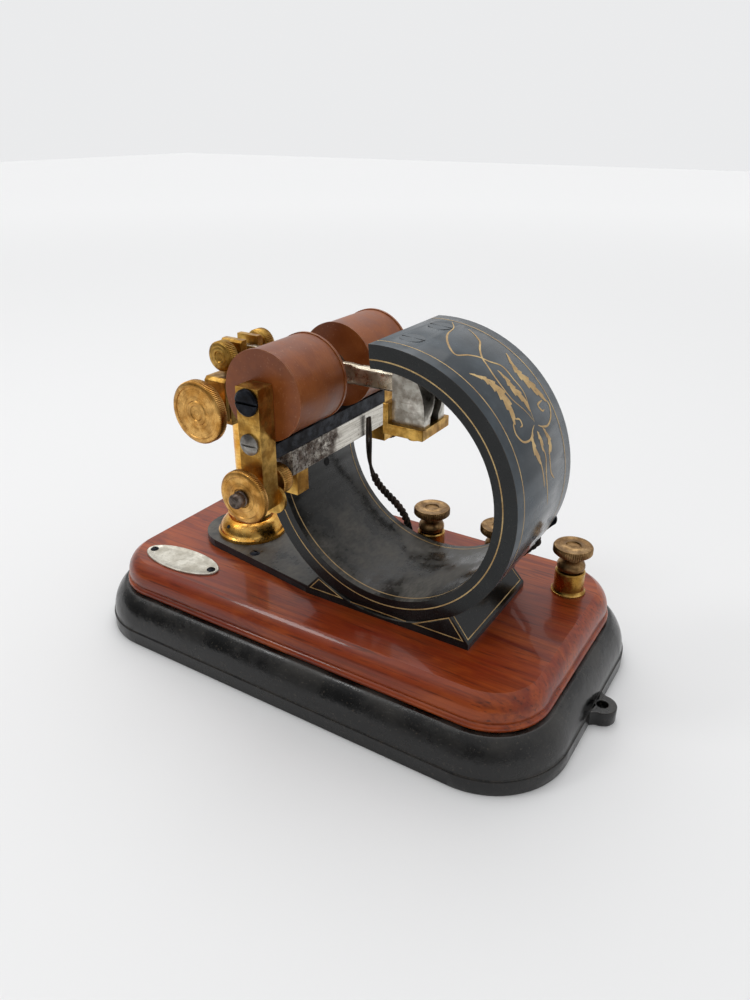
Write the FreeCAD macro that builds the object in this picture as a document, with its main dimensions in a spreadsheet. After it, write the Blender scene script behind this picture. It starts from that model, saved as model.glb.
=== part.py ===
import FreeCAD, Part
import Sketcher
import math
import os

# Polarised telegraph sounder, in millimetres.
# The origin is on the floor under the middle of the iron base, +Z is up and the long side runs along X.
doc = FreeCAD.newDocument("TelegraphSounder")
Vector = FreeCAD.Vector
Rotation = FreeCAD.Rotation

# Driving sizes
SIZES = {
    "base_length": 240, "base_width": 138.5, "base_corner": 35.2, "base_height": 22.2,
    "base_band": 7, "base_step": 0.6, "base_shoulder": 7.4, "base_curve": 20.5,
    "base_wall": 8, "base_deck": 6,
    "lug_out": 2.6, "lug_nose": 6.2, "lug_root": 10.5, "lug_height": 7, "lug_hole": 2.4,
    "wood_inset": 9, "wood_height": 14.3, "bead_depth": 1, "bead_height": 3.4, "bead_curve": 1.95,
    "quirk": 0.3, "ovolo_inset": 6.4, "ovolo_curve": 10,
    "base_screw_inset_x": 42, "base_screw_inset_y": 29.25,
    "plate_inset_x": 45.2, "plate_inset_y": 26.95, "plate_length": 44.2, "plate_half": 9, "plate_thick": 1,
    "plate_screw_reach": 18.6,
    "magnet_x": 31, "magnet_y": -4.5, "magnet_z": 96.6, "magnet_radius": 58.8, "magnet_thick": 9.3,
    "magnet_width": 55.5, "magnet_start": 95, "magnet_bolt_reach": 16, "magnet_end_drop": 0.5,
    "foot_x": 33.5, "foot_length": 81.3, "foot_width": 57.8, "foot_edge": 2.5, "foot_height": 15.5,
    "foot_top_length": 59, "tongue_thick": 4, "tongue_end_x": -69.8, "tongue_end_half": 19.2,
    "tongue_end_radius": 19.5, "foot_screw_x": -45, "foot_screw_reach": 18.7,
    "pole_screw_reach": 11.3, "pole_screw_head": 5, "pole_screw_angle": 4.2,
    "cheek_reach": 3.5, "cheek_thick": 5, "cheek_left": 25, "cheek_right": 40, "cheek_bottom": 118.5,
    "cheek_curve": 30, "shoe_reach": 16, "shoe_bottom": 141.6,
    "strap_thick": 4.5, "strap_half": 11.5, "strap_rise": 127, "strap_wall": 2.5,
    "pillar_x": -62, "pillar_radius": 6, "dome_radius": 17, "dome_height": 11.5, "dome_neck": 11.5,
    "bed_bottom": 104, "bed_top": 118, "bed_half": 6, "bed_front": 17.5, "bed_back": 18.5,
    "carriage_x": -60, "carriage_thick": 8, "carriage_front": 20.3, "carriage_back": 19.5,
    "jaw_reach": 3.5, "jaw_thick": 4, "jaw_top": 140.5, "contact_z": 134.5, "contact_gap": 0.8,
    "contact_shank": 2, "contact_head": 6.8,
    "bias_z": 113.4, "bias_radius": 14.3, "bias_front": 32.7, "bias_rim": 5.2, "bias_shank": 2.5,
    "coil_x": -14.5, "coil_z": 131.8, "coil_radius": 18.8, "coil_near": 9.9, "coil_length": 31.8,
    "coil_cheek": 1.2, "wrap_radius": 18.4, "bobbin_tube": 6.5, "core_radius": 5, "pole_gap": 1.1,
    "post_half": 5.5, "post_thick": 8.9, "post_bottom": 86, "post_top": 137.6,
    "post_screw_z": 114.5, "core_screw_head": 5.5, "post_screw_head": 4.4,
    "yoke_bottom": 95, "yoke_top": 106, "yoke_half": 5.5, "yoke_front": 31.5, "yoke_back": 41,
    "packing_bottom": 106.3, "packing_top": 112.6,
    "adjust_z": 94, "adjust_radius": 11.4, "adjust_rim": 4, "adjust_front": 58.5, "adjust_shank": 2.2,
    "adjust_collar": 5.5,
    "tongue_left": -62, "tongue_bottom": 128, "tongue_top": 137.5, "tongue_half": 1.5,
    "arbor_radius": 3, "arbor_top": 138.4, "running_fit": 0.05, "face_gap": 0.3,
    "terminal_first": 21.7, "terminal_pitch": 35.5, "terminal_clear": 7.6, "terminal_radius": 6.7,
    "terminal_head": 8.8, "terminal_height": 11, "clamp_height": 12.2,
    "lead_y": 25.2, "lead_radius": 1.3, "bundle_radius": 1.9, "earth_radius": 1.4,
    "earth_right": 51.5, "earth_drop": 22.6,
}

sheet = doc.addObject("Spreadsheet::Sheet", "Sizes")
for row, (alias, amount) in enumerate(SIZES.items(), start=1):
    sheet.set(f"A{row}", alias)
    sheet.set(f"B{row}", str(amount))
    sheet.setAlias(f"B{row}", alias)
doc.recompute()


class Size:
    """A driving size, or a length worked out from some: its value now and its formula."""

    def __init__(self, value, formula):
        self.value = value
        self.formula = formula

    def __add__(self, other):
        other = as_size(other)
        return Size(self.value + other.value, f"({self.formula} + {other.formula})")

    def __sub__(self, other):
        other = as_size(other)
        return Size(self.value - other.value, f"({self.formula} - {other.formula})")

    def __mul__(self, number):
        return Size(self.value * number, f"({self.formula} * {number})")

    def __truediv__(self, number):
        return Size(self.value / number, f"({self.formula} / {number})")

    def __neg__(self):
        return self * -1

    def __radd__(self, other):
        return as_size(other) + self

    def __rsub__(self, other):
        return as_size(other) - self


def as_size(number):
    """A plain number as a size, so that both kinds mix in a sum."""
    return number if isinstance(number, Size) else Size(float(number), repr(float(number)))


class Driving:
    """The sheet's cells by name."""

    def __getattr__(self, alias):
        return Size(float(sheet.get(alias)), "Sizes." + alias)


d = Driving()
nodes = []

# Directions that a turned piece's own axis can take
UP = Rotation()
FRONT = Rotation(Vector(1, 0, 0), 90)
BACK = Rotation(Vector(1, 0, 0), -90)
RIGHT = Rotation(Vector(0, 1, 0), 90)
SECTION = Rotation(Vector(1, 1, 1), 120)


def bind(item, prop, amount):
    """Sets a property's number and ties it to the sheet."""
    item.setExpression(prop, as_size(amount).formula)


def place(item, x, y, z, turn=UP):
    """Puts an object at a bound place, turned as asked."""
    at = [as_size(amount) for amount in (x, y, z)]
    item.Placement = FreeCAD.Placement(Vector(*[size.value for size in at]), turn)
    for axis, size in zip("xyz", at):
        bind(item, "Placement.Base." + axis, size)
    return item


def node(name, item):
    """Names a finished sub-part, which is written to its own file."""
    item.Label = name
    nodes.append(item)
    return item


def pin(sketch, geometry, end, x, y):
    """Ties one point of a sketch to the sketch's origin."""
    for kind, axis, size in (("DistanceX", -2, as_size(x)), ("DistanceY", -1, as_size(y))):
        if size.value == 0:
            sketch.addConstraint(Sketcher.Constraint("PointOnObject", geometry, end, axis))
            continue
        row = sketch.addConstraint(Sketcher.Constraint(kind, -1, 1, geometry, end, size.value))
        bind(sketch, f"Constraints[{row}]", size)


def arc_between(start, finish, radius, left):
    """The lesser arc between two points, always drawn counter-clockwise, as sketches want it."""
    if not left:
        start, finish = finish, start
    chord = finish - start
    outward = Vector(chord.y, -chord.x, 0).normalize()
    rise = math.sqrt(max(radius ** 2 - (chord.Length / 2) ** 2, 0))
    return Part.Arc(start, (start + finish) * 0.5 + outward * (radius - rise), finish)


def outline(sketch, *points):
    """Draws a closed outline: (x, y) is reached straight, (x, y, radius, left) along an arc."""
    corners = [Vector(as_size(point[0]).value, as_size(point[1]).value, 0) for point in points]
    first = sketch.GeometryCount
    count = len(points)
    ends = []
    for index in range(count):
        after = (index + 1) % count
        arc = points[after][2:]
        if arc:
            sketch.addGeometry(arc_between(corners[index], corners[after], as_size(arc[0]).value, arc[1]))
        else:
            sketch.addGeometry(Part.LineSegment(corners[index], corners[after]))
        ends.append((1, 2) if not arc or arc[1] else (2, 1))
    for index in range(count):
        after = (index + 1) % count
        pin(sketch, first + index, ends[index][0], *points[index][:2])
        sketch.addConstraint(Sketcher.Constraint(
            "Coincident", first + index, ends[index][1], first + after, ends[after][0]))
        if points[after][2:]:
            radius = as_size(points[after][2])
            row = sketch.addConstraint(Sketcher.Constraint("Radius", first + index, radius.value))
            bind(sketch, f"Constraints[{row}]", radius)
    return sketch


def circle(sketch, x, y, radius):
    """Draws a bound circle."""
    x, y, radius = as_size(x), as_size(y), as_size(radius)
    ring = sketch.addGeometry(Part.Circle(Vector(x.value, y.value, 0), Vector(0, 0, 1), radius.value))
    pin(sketch, ring, 3, x, y)
    row = sketch.addConstraint(Sketcher.Constraint("Radius", ring, radius.value))
    bind(sketch, f"Constraints[{row}]", radius)
    return sketch


def rectangle(sketch, left, right, low, high):
    """Draws a bound rectangle."""
    return outline(sketch, (left, low), (right, low), (right, high), (left, high))


def rounded(sketch, half_x, half_y, corner):
    """Draws a bound rectangle with round corners, begun in the middle of its front side."""
    return outline(
        sketch,
        (0, -half_y),
        (half_x - corner, -half_y),
        (half_x, corner - half_y, corner, True),
        (half_x, half_y - corner),
        (half_x - corner, half_y, corner, True),
        (corner - half_x, half_y),
        (-half_x, half_y - corner, corner, True),
        (-half_x, corner - half_y),
        (corner - half_x, -half_y, corner, True),
    )


def new_body(name):
    return doc.addObject("PartDesign::Body", name)


def sketch_on(body, role, name, offset=0):
    """An empty sketch on one of the body's own origin planes, lifted by a bound offset."""
    plane = next(item for item in body.Origin.OriginFeatures if item.Role == role)
    sketch = body.newObject("Sketcher::SketchObject", name)
    sketch.AttachmentSupport = (plane, [""])
    sketch.MapMode = "FlatFace"
    if as_size(offset).value:
        bind(sketch, "AttachmentOffset.Base.z", offset)
    return sketch


def pad(body, sketch, length, both_ways=False):
    """Extrudes a sketch of the body."""
    feature = body.newObject("PartDesign::Pad", sketch.Name + "_pad")
    feature.Profile = sketch
    feature.Midplane = both_ways
    bind(feature, "Length", length)
    return feature


def pocket(body, sketch, depth, both_ways=False):
    """Cuts a sketch into the body."""
    feature = body.newObject("PartDesign::Pocket", sketch.Name + "_pocket")
    feature.Profile = sketch
    feature.Midplane = both_ways
    bind(feature, "Length", depth)
    return feature


def crown(radius, rise):
    """Radius of the arc that domes a round face by the given rise."""
    return (radius ** 2 + rise ** 2) / (2 * rise)


def turned(name, x, y, z, turn, *profile, slot=None):
    """A turned piece: (radius, height) points along its own axis, and a slot (width, depth, top)."""
    body = new_body(name)
    sketch = outline(sketch_on(body, "XZ_Plane", name + "_profile"), *profile)
    turning = body.newObject("PartDesign::Revolution", name + "_turning")
    turning.Profile = sketch
    turning.ReferenceAxis = (sketch, ["V_Axis"])
    turning.Angle = 360
    if slot:
        width, depth, top, reach = slot
        across = sketch_on(body, "XY_Plane", name + "_slot", top)
        rectangle(across, -as_size(reach), reach, -as_size(width) / 2, as_size(width) / 2)
        pocket(body, across, depth)
    return place(body, x, y, z, turn)


def box(name, left, right, front, back, low, high):
    """A block between bound planes."""
    block = doc.addObject("Part::Box", name)
    bind(block, "Length", as_size(right) - left)
    bind(block, "Width", as_size(back) - front)
    bind(block, "Height", as_size(high) - low)
    return place(block, left, front, low)


def rod(name, x, y, z, turn, radius, length):
    """A plain cylinder that starts at a bound place."""
    cylinder = doc.addObject("Part::Cylinder", name)
    bind(cylinder, "Radius", radius)
    bind(cylinder, "Height", length)
    return place(cylinder, x, y, z, turn)


def cut(name, base, *tools):
    """The base less the tools."""
    tool = tools[0]
    if len(tools) > 1:
        tool = group(name + "_tools", tools)
    result = doc.addObject("Part::Cut", name)
    result.Base = base
    result.Tool = tool
    return result


def fuse(name, *shapes):
    result = doc.addObject("Part::MultiFuse", name)
    result.Shapes = list(shapes)
    return result


def common(name, base, tool):
    result = doc.addObject("Part::Common", name)
    result.Base = base
    result.Tool = tool
    return result


def group(name, items):
    """Separate solids kept as one object."""
    result = doc.addObject("Part::Compound", name)
    result.Links = list(items)
    return result


def loose_sketch(name, x, y, z, turn=UP):
    """A sketch of its own, outside any body."""
    return place(doc.addObject("Sketcher::SketchObject", name), x, y, z, turn)


def moulded(name, half_x, half_y, corner, low, height, *waste):
    """A slab with round corners whose edge moulding is swept away along its outline.

    The waste's points are (inset from the outline, height above the slab's underside).
    """
    slab = new_body(name + "_slab")
    pad(slab, rounded(sketch_on(slab, "XY_Plane", name + "_outline"), half_x, half_y, corner), height)
    place(slab, 0, 0, low)
    path = rounded(loose_sketch(name + "_path", 0, 0, low), half_x, half_y, corner)
    section = outline(loose_sketch(name + "_section", 0, -half_y, low, SECTION), *waste)
    sweep = doc.addObject("Part::Sweep", name + "_waste")
    sweep.Sections = [section]
    sweep.Spine = (path, [f"Edge{number + 1}" for number in range(path.GeometryCount)])
    sweep.Solid = True
    sweep.Frenet = False
    return cut(name + "_moulded", slab, sweep)


# Heights of the base's two tops
iron_top = d.base_height
wood_top = d.base_height + d.wood_height
mirror_y = d.magnet_y
# Places that keep their distance from the base's edges and from the magnet's foot
half_x, half_y = d.base_length / 2, d.base_width / 2
lug_reach = half_x + d.lug_out
plate_x, plate_y = d.plate_inset_x - half_x, d.plate_inset_y - half_y
terminal_y = mirror_y + d.foot_width / 2 + d.terminal_clear
# How far a cutting tool runs past what it cuts
OVER = 1.5
# Radius of the arbor's upper journal
ARBOR_END = 1
# Play between a coil and the end post behind it
COIL_PLAY = 0.2
# How far the contact pin stands out of the tongue on each side
PIN_PROUD = 0.3


def span(one, other):
    """Two sizes, the lesser first."""
    return sorted((one, other), key=lambda size: size.value)


def base_screws():
    """Four wood screws that hold the wood from under the iron deck."""
    head_radius, shank_radius, head, length = 4, 2, 2.4, 13
    screws = []
    for side_x in (-1, 1):
        for side_y in (-1, 1):
            screws.append(turned(
                f"base_screw_{len(screws) + 1}", (half_x - d.base_screw_inset_x) * side_x,
                (half_y - d.base_screw_inset_y) * side_y,
                iron_top - d.base_deck, UP,
                (0, 0), (head_radius, 0), (shank_radius, head), (shank_radius, length - 2), (0, length)))
    return node("base_screws", group("base_screws", screws))


def magnet_bolts():
    """Two bolts that hold the magnet down, from the iron deck into the foot of the ring."""
    head_radius, head, shank_radius, grip = 5, 3.5, 3, 6
    bottom = iron_top - d.base_deck - head
    length = d.magnet_z - d.magnet_radius + grip - bottom
    bolts = []
    for side in (-1, 1):
        bolts.append(turned(
            f"magnet_bolt_{len(bolts) + 1}", d.magnet_x, mirror_y + d.magnet_bolt_reach * side, bottom, UP,
            (0, 0), (head_radius, 0), (head_radius, head), (shank_radius, head),
            (shank_radius, length), (0, length)))
    return node("magnet_bolts", group("magnet_bolts", bolts))


def iron_base(fixings):
    """Hollow cast base with a moulded edge and a screw lug at each end."""
    moulding = moulded(
        "iron", half_x, half_y, d.base_corner, 0, d.base_height,
        (d.base_step, d.base_band), (d.base_shoulder, d.base_height, d.base_curve, False),
        (d.base_shoulder, d.base_height + OVER), (-OVER, d.base_height + OVER), (-OVER, d.base_band))
    hollow = new_body("iron_hollow")
    sketch = sketch_on(hollow, "XY_Plane", "iron_hollow_outline")
    rounded(sketch, half_x - d.base_wall, half_y - d.base_wall, d.base_corner - d.base_wall)
    pad(hollow, sketch, d.base_height - d.base_deck)
    lugs = []
    flare = 8
    for side, turn in ((1, UP), (-1, Rotation(Vector(0, 0, 1), 180))):
        lug = new_body(f"lug_{len(lugs) + 1}")
        shape = sketch_on(lug, "XY_Plane", f"lug_{len(lugs) + 1}_outline")
        inner = half_x - d.base_wall / 2
        outline(
            shape, (inner, -d.lug_root), (half_x - OVER, -d.lug_root),
            (lug_reach, -d.lug_nose, flare, False),
            (lug_reach + d.lug_nose, 0, d.lug_nose, True), (lug_reach, d.lug_nose, d.lug_nose, True),
            (half_x - OVER, d.lug_root, flare, False), (inner, d.lug_root))
        pad(lug, shape, d.lug_height)
        lugs.append(place(lug, 0, 0, 0, turn))
    solid = fuse("iron_with_lugs", moulding, *lugs)
    holes = []
    for side in (-1, 1):
        holes.append(rod(f"lug_hole_{side + 2}", lug_reach * side, 0, -OVER, UP, d.lug_hole,
                         d.lug_height + 2 * OVER))
    return node("iron_base", cut("iron_base", solid, hollow, *holes, *fixings))


def wood_base(fixings):
    """Mahogany slab with a bead below and an ovolo above."""
    bead_top = d.bead_height
    quirk_top = bead_top + d.quirk * 2
    slab = moulded(
        "wood", half_x - d.wood_inset, half_y - d.wood_inset,
        d.base_corner - d.wood_inset, iron_top, d.wood_height,
        (d.bead_depth, 0), (d.bead_depth, bead_top, d.bead_curve, False),
        (d.bead_depth + d.quirk * 2, bead_top + d.quirk), (d.bead_depth, quirk_top),
        (d.ovolo_inset, d.wood_height, d.ovolo_curve, False), (d.ovolo_inset, d.wood_height + OVER),
        (-OVER, d.wood_height + OVER), (-OVER, -OVER), (d.bead_depth, -OVER))
    return node("wood_base", cut("wood_base", slab, *fixings))


def small_screws(name, places, z, head_radius, head, shank_radius, length):
    """Round-headed slotted screws that point down, one at each (x, y)."""
    point = 1
    screws = []
    for x, y in places:
        screws.append(turned(
            f"{name}_{len(screws) + 1}", x, y, z, UP,
            (0, -length), (shank_radius, point - length), (shank_radius, 0), (head_radius, 0),
            (0, head, crown(head_radius, head), True),
            slot=(head_radius * 0.3, head * 0.5, head, head_radius * 1.2)))
    return node(name, group(name, screws))


def name_plate(screws):
    """Blank plate, a pointed oval."""
    body = new_body("name_plate_blank")
    half = d.plate_length / 2
    # Radius of the two arcs that bound the oval
    radius = Size(
        (half.value ** 2 + d.plate_half.value ** 2) / (2 * d.plate_half.value),
        "((Sizes.plate_length / 2)^2 + Sizes.plate_half^2) / (2 * Sizes.plate_half)")
    sketch = sketch_on(body, "XY_Plane", "name_plate_outline")
    outline(sketch, (-half, 0, radius, True), (half, 0, radius, True))
    pad(body, sketch, d.plate_thick)
    place(body, plate_x, plate_y, wood_top)
    return node("name_plate", cut("name_plate", body, screws))


def magnet_ring(fixings):
    """Flat bar bent to an open ring, with its gap at the upper left."""
    body = new_body("ring_bar")
    sketch = sketch_on(body, "XZ_Plane", "ring_section")
    half = d.magnet_width / 2
    rectangle(sketch, d.magnet_radius - d.magnet_thick, d.magnet_radius, -half, half)
    bend = body.newObject("PartDesign::Revolution", "ring_bend")
    bend.Profile = sketch
    bend.ReferenceAxis = (sketch, ["V_Axis"])
    # The left end comes up to the slide bar's underside
    lift = d.packing_bottom + d.magnet_end_drop - d.magnet_z
    end = Size(
        180 + math.degrees(math.asin(lift.value / SIZES["magnet_radius"])),
        f"(180 + asin({lift.formula} / Sizes.magnet_radius) / 1 deg)")
    bind(bend, "Angle", d.magnet_start + end)
    tilt = Rotation(Vector(0, 1, 0), -SIZES["magnet_start"])
    place(body, d.magnet_x, mirror_y, d.magnet_z, tilt * BACK)
    return node("magnet_ring", cut("magnet_ring", body, *fixings))


def magnet_foot(fixings):
    """Bevelled foot with a saddle for the ring and a tongue that runs under the pillar."""
    body = new_body("foot_casting")
    half_width = d.foot_width / 2
    half_length = d.foot_length / 2
    edge = sketch_on(body, "XY_Plane", "foot_edge_outline")
    rectangle(edge, d.foot_x - half_length, d.foot_x + half_length, -half_width, half_width)
    pad(body, edge, d.foot_edge)
    low = sketch_on(body, "XY_Plane", "foot_bevel_low", d.foot_edge)
    rectangle(low, d.foot_x - half_length, d.foot_x + half_length, -half_width, half_width)
    high = sketch_on(body, "XY_Plane", "foot_bevel_high", d.foot_height)
    half_top, half_ring = d.foot_top_length / 2, d.magnet_width / 2
    rectangle(high, d.foot_x - half_top, d.foot_x + half_top, -half_ring, half_ring)
    bevel = body.newObject("PartDesign::AdditiveLoft", "foot_bevel")
    bevel.Profile = low
    bevel.Sections = [high]
    bevel.Ruled = True
    root = d.foot_x - half_length + OVER
    tongue = sketch_on(body, "XY_Plane", "foot_tongue_outline")
    outline(
        tongue, (root, -half_width), (root, half_width), (d.tongue_end_x, d.tongue_end_half),
        (d.tongue_end_x, -d.tongue_end_half, d.tongue_end_radius, True))
    pad(body, tongue, d.tongue_thick)
    place(body, 0, mirror_y, wood_top)
    saddle = rod("foot_saddle", d.magnet_x, mirror_y - d.foot_width, d.magnet_z, BACK,
                 d.magnet_radius, d.foot_width * 2)
    return node("magnet_foot", cut("magnet_foot", body, saddle, *fixings))


def pole_screws():
    """Two countersunk screws through the ring's upper end into the pole cheeks."""
    shank_radius, head, length = 2.5, 3, 13.5
    screws = []
    for side in (-1, 1):
        screws.append(turned(
            f"pole_screw_{len(screws) + 1}", 0, 0, 0, UP,
            (0, -length), (shank_radius, -length), (shank_radius, -head), (d.pole_screw_head, 0), (0, 0),
            slot=(1, 1, 0, 6)))
        angle = math.radians(SIZES["pole_screw_angle"])
        x = d.magnet_x + d.magnet_radius * math.sin(angle)
        z = d.magnet_z + d.magnet_radius * math.cos(angle)
        turn = Rotation(Vector(0, 1, 0), SIZES["pole_screw_angle"])
        place(screws[-1], x, mirror_y + d.pole_screw_reach * side, z, turn)
    return node("pole_screws", group("pole_screws", screws))


def pole_cheek(name, side, fixings):
    """Steel pole piece: a web beside the armature and a shoe fitted to the ring's bore."""
    top = d.magnet_z + d.magnet_radius
    inner, outer = d.cheek_reach, d.cheek_reach + d.cheek_thick
    bevel, heel = 7, 3
    sections = []
    for reach, lean in ((inner, 0), (outer, bevel)):
        section = loose_sketch(f"{name}_section_{len(sections) + 1}", 0, mirror_y + reach * side, 0, FRONT)
        outline(
            section, (d.cheek_left, d.cheek_bottom), (d.cheek_right, d.cheek_bottom),
            (d.cheek_right, d.cheek_bottom + heel),
            (d.cheek_right - lean, d.shoe_bottom, d.cheek_curve, True),
            (d.cheek_right - lean, top), (d.cheek_left, top))
        sections.append(section)
    web = doc.addObject("Part::Loft", name + "_web")
    web.Sections = sections
    web.Solid = True
    web.Ruled = True
    near, far = span(inner * side, d.shoe_reach * side)
    shoe = box(name + "_shoe", d.cheek_left, d.cheek_right, mirror_y + near, mirror_y + far,
               d.shoe_bottom, top)
    bore = rod(name + "_bore", d.magnet_x, mirror_y - d.magnet_width, d.magnet_z, BACK,
               d.magnet_radius - d.magnet_thick, d.magnet_width * 2)
    fitted = common(name + "_fitted", fuse(name + "_block", web, shoe), bore)
    return node(name, cut(name, fitted, *fixings))


def pivot_parts():
    """Strap under the cheeks, its screws, the lower pivot screw and the upper bearing."""
    low = d.cheek_bottom - d.strap_thick
    head_radius, head, stem_radius, tip_radius, tip = 2.6, 4.5, 1.6, 0.6, 0.9
    pivot = turned(
        "pivot_screw", d.magnet_x, mirror_y, low, UP,
        (0, -head), (head_radius, -head), (head_radius, 0), (stem_radius, 0), (stem_radius, d.strap_thick),
        (tip_radius, d.strap_thick + tip), (0, d.strap_thick + tip))
    node("pivot_screw", pivot)
    inset, small_head, small_radius, shank_radius, length = 2.5, 1.2, 1.8, 1, 9
    screws = []
    for side in (-1, 1):
        screws.append(turned(
            f"strap_screw_{len(screws) + 1}", d.cheek_right - inset,
            mirror_y + (d.cheek_reach + inset) * side, low, UP,
            (0, -small_head), (small_radius, -small_head), (small_radius, 0), (shank_radius, 0),
            (shank_radius, length), (0, length)))
    strap_screws = node("strap_screws", group("strap_screws", screws))
    body = new_body("strap_bar")
    sketch = sketch_on(body, "XZ_Plane", "strap_profile")
    left = d.cheek_left - d.strap_wall
    outline(
        sketch, (left, low), (d.cheek_right + 1, low), (d.cheek_right + 1, d.cheek_bottom),
        (d.cheek_left, d.cheek_bottom), (d.cheek_left, d.strap_rise), (left, d.strap_rise))
    pad(body, sketch, d.strap_half * 2, both_ways=True)
    place(body, 0, mirror_y, 0)
    node("pivot_strap", cut("pivot_strap", body, pivot, strap_screws))
    half_long, half_wide, thick = 4, 8, 2.8
    bar = box("bearing_bar", d.magnet_x - half_long, d.magnet_x + half_long, mirror_y - half_wide,
              mirror_y + half_wide, d.shoe_bottom - thick, d.shoe_bottom)
    bore = rod("bearing_bore", d.magnet_x, mirror_y, d.shoe_bottom - thick - OVER, UP,
               ARBOR_END + d.running_fit, thick + OVER * 2)
    gap = []
    for side in (-1, 1):
        inner, outer = span(d.cheek_reach * side, (d.cheek_reach + half_wide) * side)
        gap.append(box(f"bearing_gap_{side + 2}", d.cheek_left - 1, d.cheek_right + 1, mirror_y + inner,
                       mirror_y + outer, d.shoe_bottom - thick - OVER, d.shoe_bottom + 1))
    node("upper_bearing", cut("upper_bearing", bar, bore, *gap))
    return strap_screws


def armature():
    """Iron tongue with its upright arbor and the contact pin near its free end."""
    body = new_body("tongue_bar")
    sketch = sketch_on(body, "XZ_Plane", "tongue_outline")
    right = d.magnet_x + d.arbor_radius
    nose_rise, nose_run = 2, 3
    outline(
        sketch, (d.tongue_left, d.tongue_bottom + nose_rise), (d.tongue_left + nose_run, d.tongue_bottom),
        (right, d.tongue_bottom), (right, d.tongue_top), (d.tongue_left, d.tongue_top))
    # Long slot that leaves a thin lower web and a thicker upper bar
    left_margin, right_margin, web, bar = 8, 6, 1.6, 4.6
    slot_left, slot_right = d.coil_x + left_margin, d.magnet_x - right_margin
    slot_low, slot_high = d.tongue_bottom + web, d.tongue_top - bar
    slot_radius = (slot_high - slot_low) / 2
    outline(
        sketch, (slot_left, slot_low, slot_radius, True), (slot_right, slot_low),
        (slot_right + slot_radius, slot_low + slot_radius, slot_radius, True),
        (slot_right, slot_high, slot_radius, True), (slot_left, slot_high),
        (slot_left - slot_radius, slot_low + slot_radius, slot_radius, True))
    pad(body, sketch, d.tongue_half * 2, both_ways=True)
    place(body, 0, mirror_y, 0)
    pin_radius = 1.2
    length = (d.tongue_half + PIN_PROUD) * 2
    pin_rod = rod("contact_pin", d.carriage_x, mirror_y - length / 2, d.contact_z, BACK, pin_radius, length)
    node("contact_pin", pin_rod)
    tongue = node("armature_tongue", cut("armature_tongue", body, pin_rod))
    clearance, journal = 1.2, 3
    low, high = d.cheek_bottom + clearance, d.arbor_top + journal
    arbor = turned(
        "arbor_bar", d.magnet_x, mirror_y, 0, UP,
        (0, low), (d.arbor_radius, low), (d.arbor_radius, d.arbor_top), (ARBOR_END, d.arbor_top),
        (ARBOR_END, high), (0, high))
    node("armature_arbor", cut("armature_arbor", arbor, tongue))


def pillar_parts(wood_fixings):
    """Domed foot and the column that carries the contact bed."""
    stud_radius, stud_depth, spigot = 4, 8, 5
    fillet, lower_collar, upper_collar = 3, 9, 8
    foot_top = d.tongue_thick + d.dome_height
    bed_low = d.bed_bottom - wood_top
    pillar = turned(
        "pillar", d.pillar_x, mirror_y, wood_top, UP,
        (0, -stud_depth), (stud_radius, -stud_depth), (stud_radius, foot_top), (lower_collar, foot_top),
        (d.pillar_radius, foot_top + fillet, fillet, False), (d.pillar_radius, bed_low - fillet),
        (upper_collar, bed_low, fillet, False), (stud_radius, bed_low), (stud_radius, bed_low + spigot),
        (0, bed_low + spigot))
    node("pillar", pillar)
    dome = turned(
        "pillar_dome", d.pillar_x, mirror_y, wood_top + d.tongue_thick, UP,
        (0, 0), (d.dome_radius, 0), (d.dome_radius, 1.6), (d.dome_radius - 0.8, 2.4),
        (d.dome_neck - 1, d.dome_height - 2.2, 9, True), (d.dome_neck, d.dome_height - 1.8),
        (d.dome_neck, d.dome_height), (0, d.dome_height))
    node("pillar_foot", cut("pillar_foot", dome, pillar))
    wood_fixings.append(pillar)
    return pillar


def contact_bed(pillar):
    """Fixed bed that the contact carriage slides along, bored for the bias screw."""
    front, back = mirror_y - d.bed_front, mirror_y + d.bed_back
    bed = box("bed_block", d.carriage_x - d.bed_half, d.carriage_x + d.bed_half, front, back,
              d.bed_bottom, d.bed_top - d.face_gap)
    bore = rod("bed_bore", d.carriage_x, front - 1, d.bias_z, BACK, d.bias_shank + d.running_fit, 18)
    node("slide_bed", cut("slide_bed", bed, bore, pillar))


def carriage():
    """Contact carriage: a bar with two jaws for the contact screws and a lip for the bias screw."""
    body = new_body("carriage")
    sketch = sketch_on(body, "YZ_Plane", "carriage_profile")
    front, back = -d.carriage_front, d.carriage_back
    bar_top = d.bed_top + d.carriage_thick
    inner, outer = d.jaw_reach, d.jaw_reach + d.jaw_thick
    lip_thick, lip_drop, bevel, chamfer = 2, 7, 1, 1.5
    lip_low = d.bias_z - lip_drop
    outline(
        sketch, (front, lip_low), (front + lip_thick, lip_low), (front + lip_thick, d.bed_top),
        (back, d.bed_top), (back, bar_top), (outer, bar_top), (outer, d.jaw_top - bevel),
        (outer - bevel, d.jaw_top), (inner, d.jaw_top), (inner, bar_top), (-inner, bar_top),
        (-inner, d.jaw_top), (bevel - outer, d.jaw_top), (-outer, d.jaw_top - bevel), (-outer, bar_top),
        (front + chamfer, bar_top), (front, bar_top - chamfer))
    pad(body, sketch, d.bed_half * 2, both_ways=True)
    doc.recompute()
    holes = sketch_on(body, "XZ_Plane", "carriage_holes")
    circle(holes, 0, d.contact_z, d.contact_shank + d.running_fit)
    circle(holes, 0, d.bias_z, d.bias_shank + d.running_fit)
    pocket(body, holes, d.carriage_front * 4, both_ways=True)
    return node("carriage", place(body, d.carriage_x, mirror_y, 0))


def wheel_profile(hub, hub_length, radius, rim, start=0):
    """Outline of a knurled thumb wheel with a hub behind it, from the hub's free face."""
    bevel = 0.6
    face = hub_length + rim
    return (
        (0, start), (hub, start), (hub, hub_length), (radius - bevel * 2, hub_length),
        (radius, hub_length + bevel), (radius, face - bevel), (radius - bevel, face), (0, face))


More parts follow.
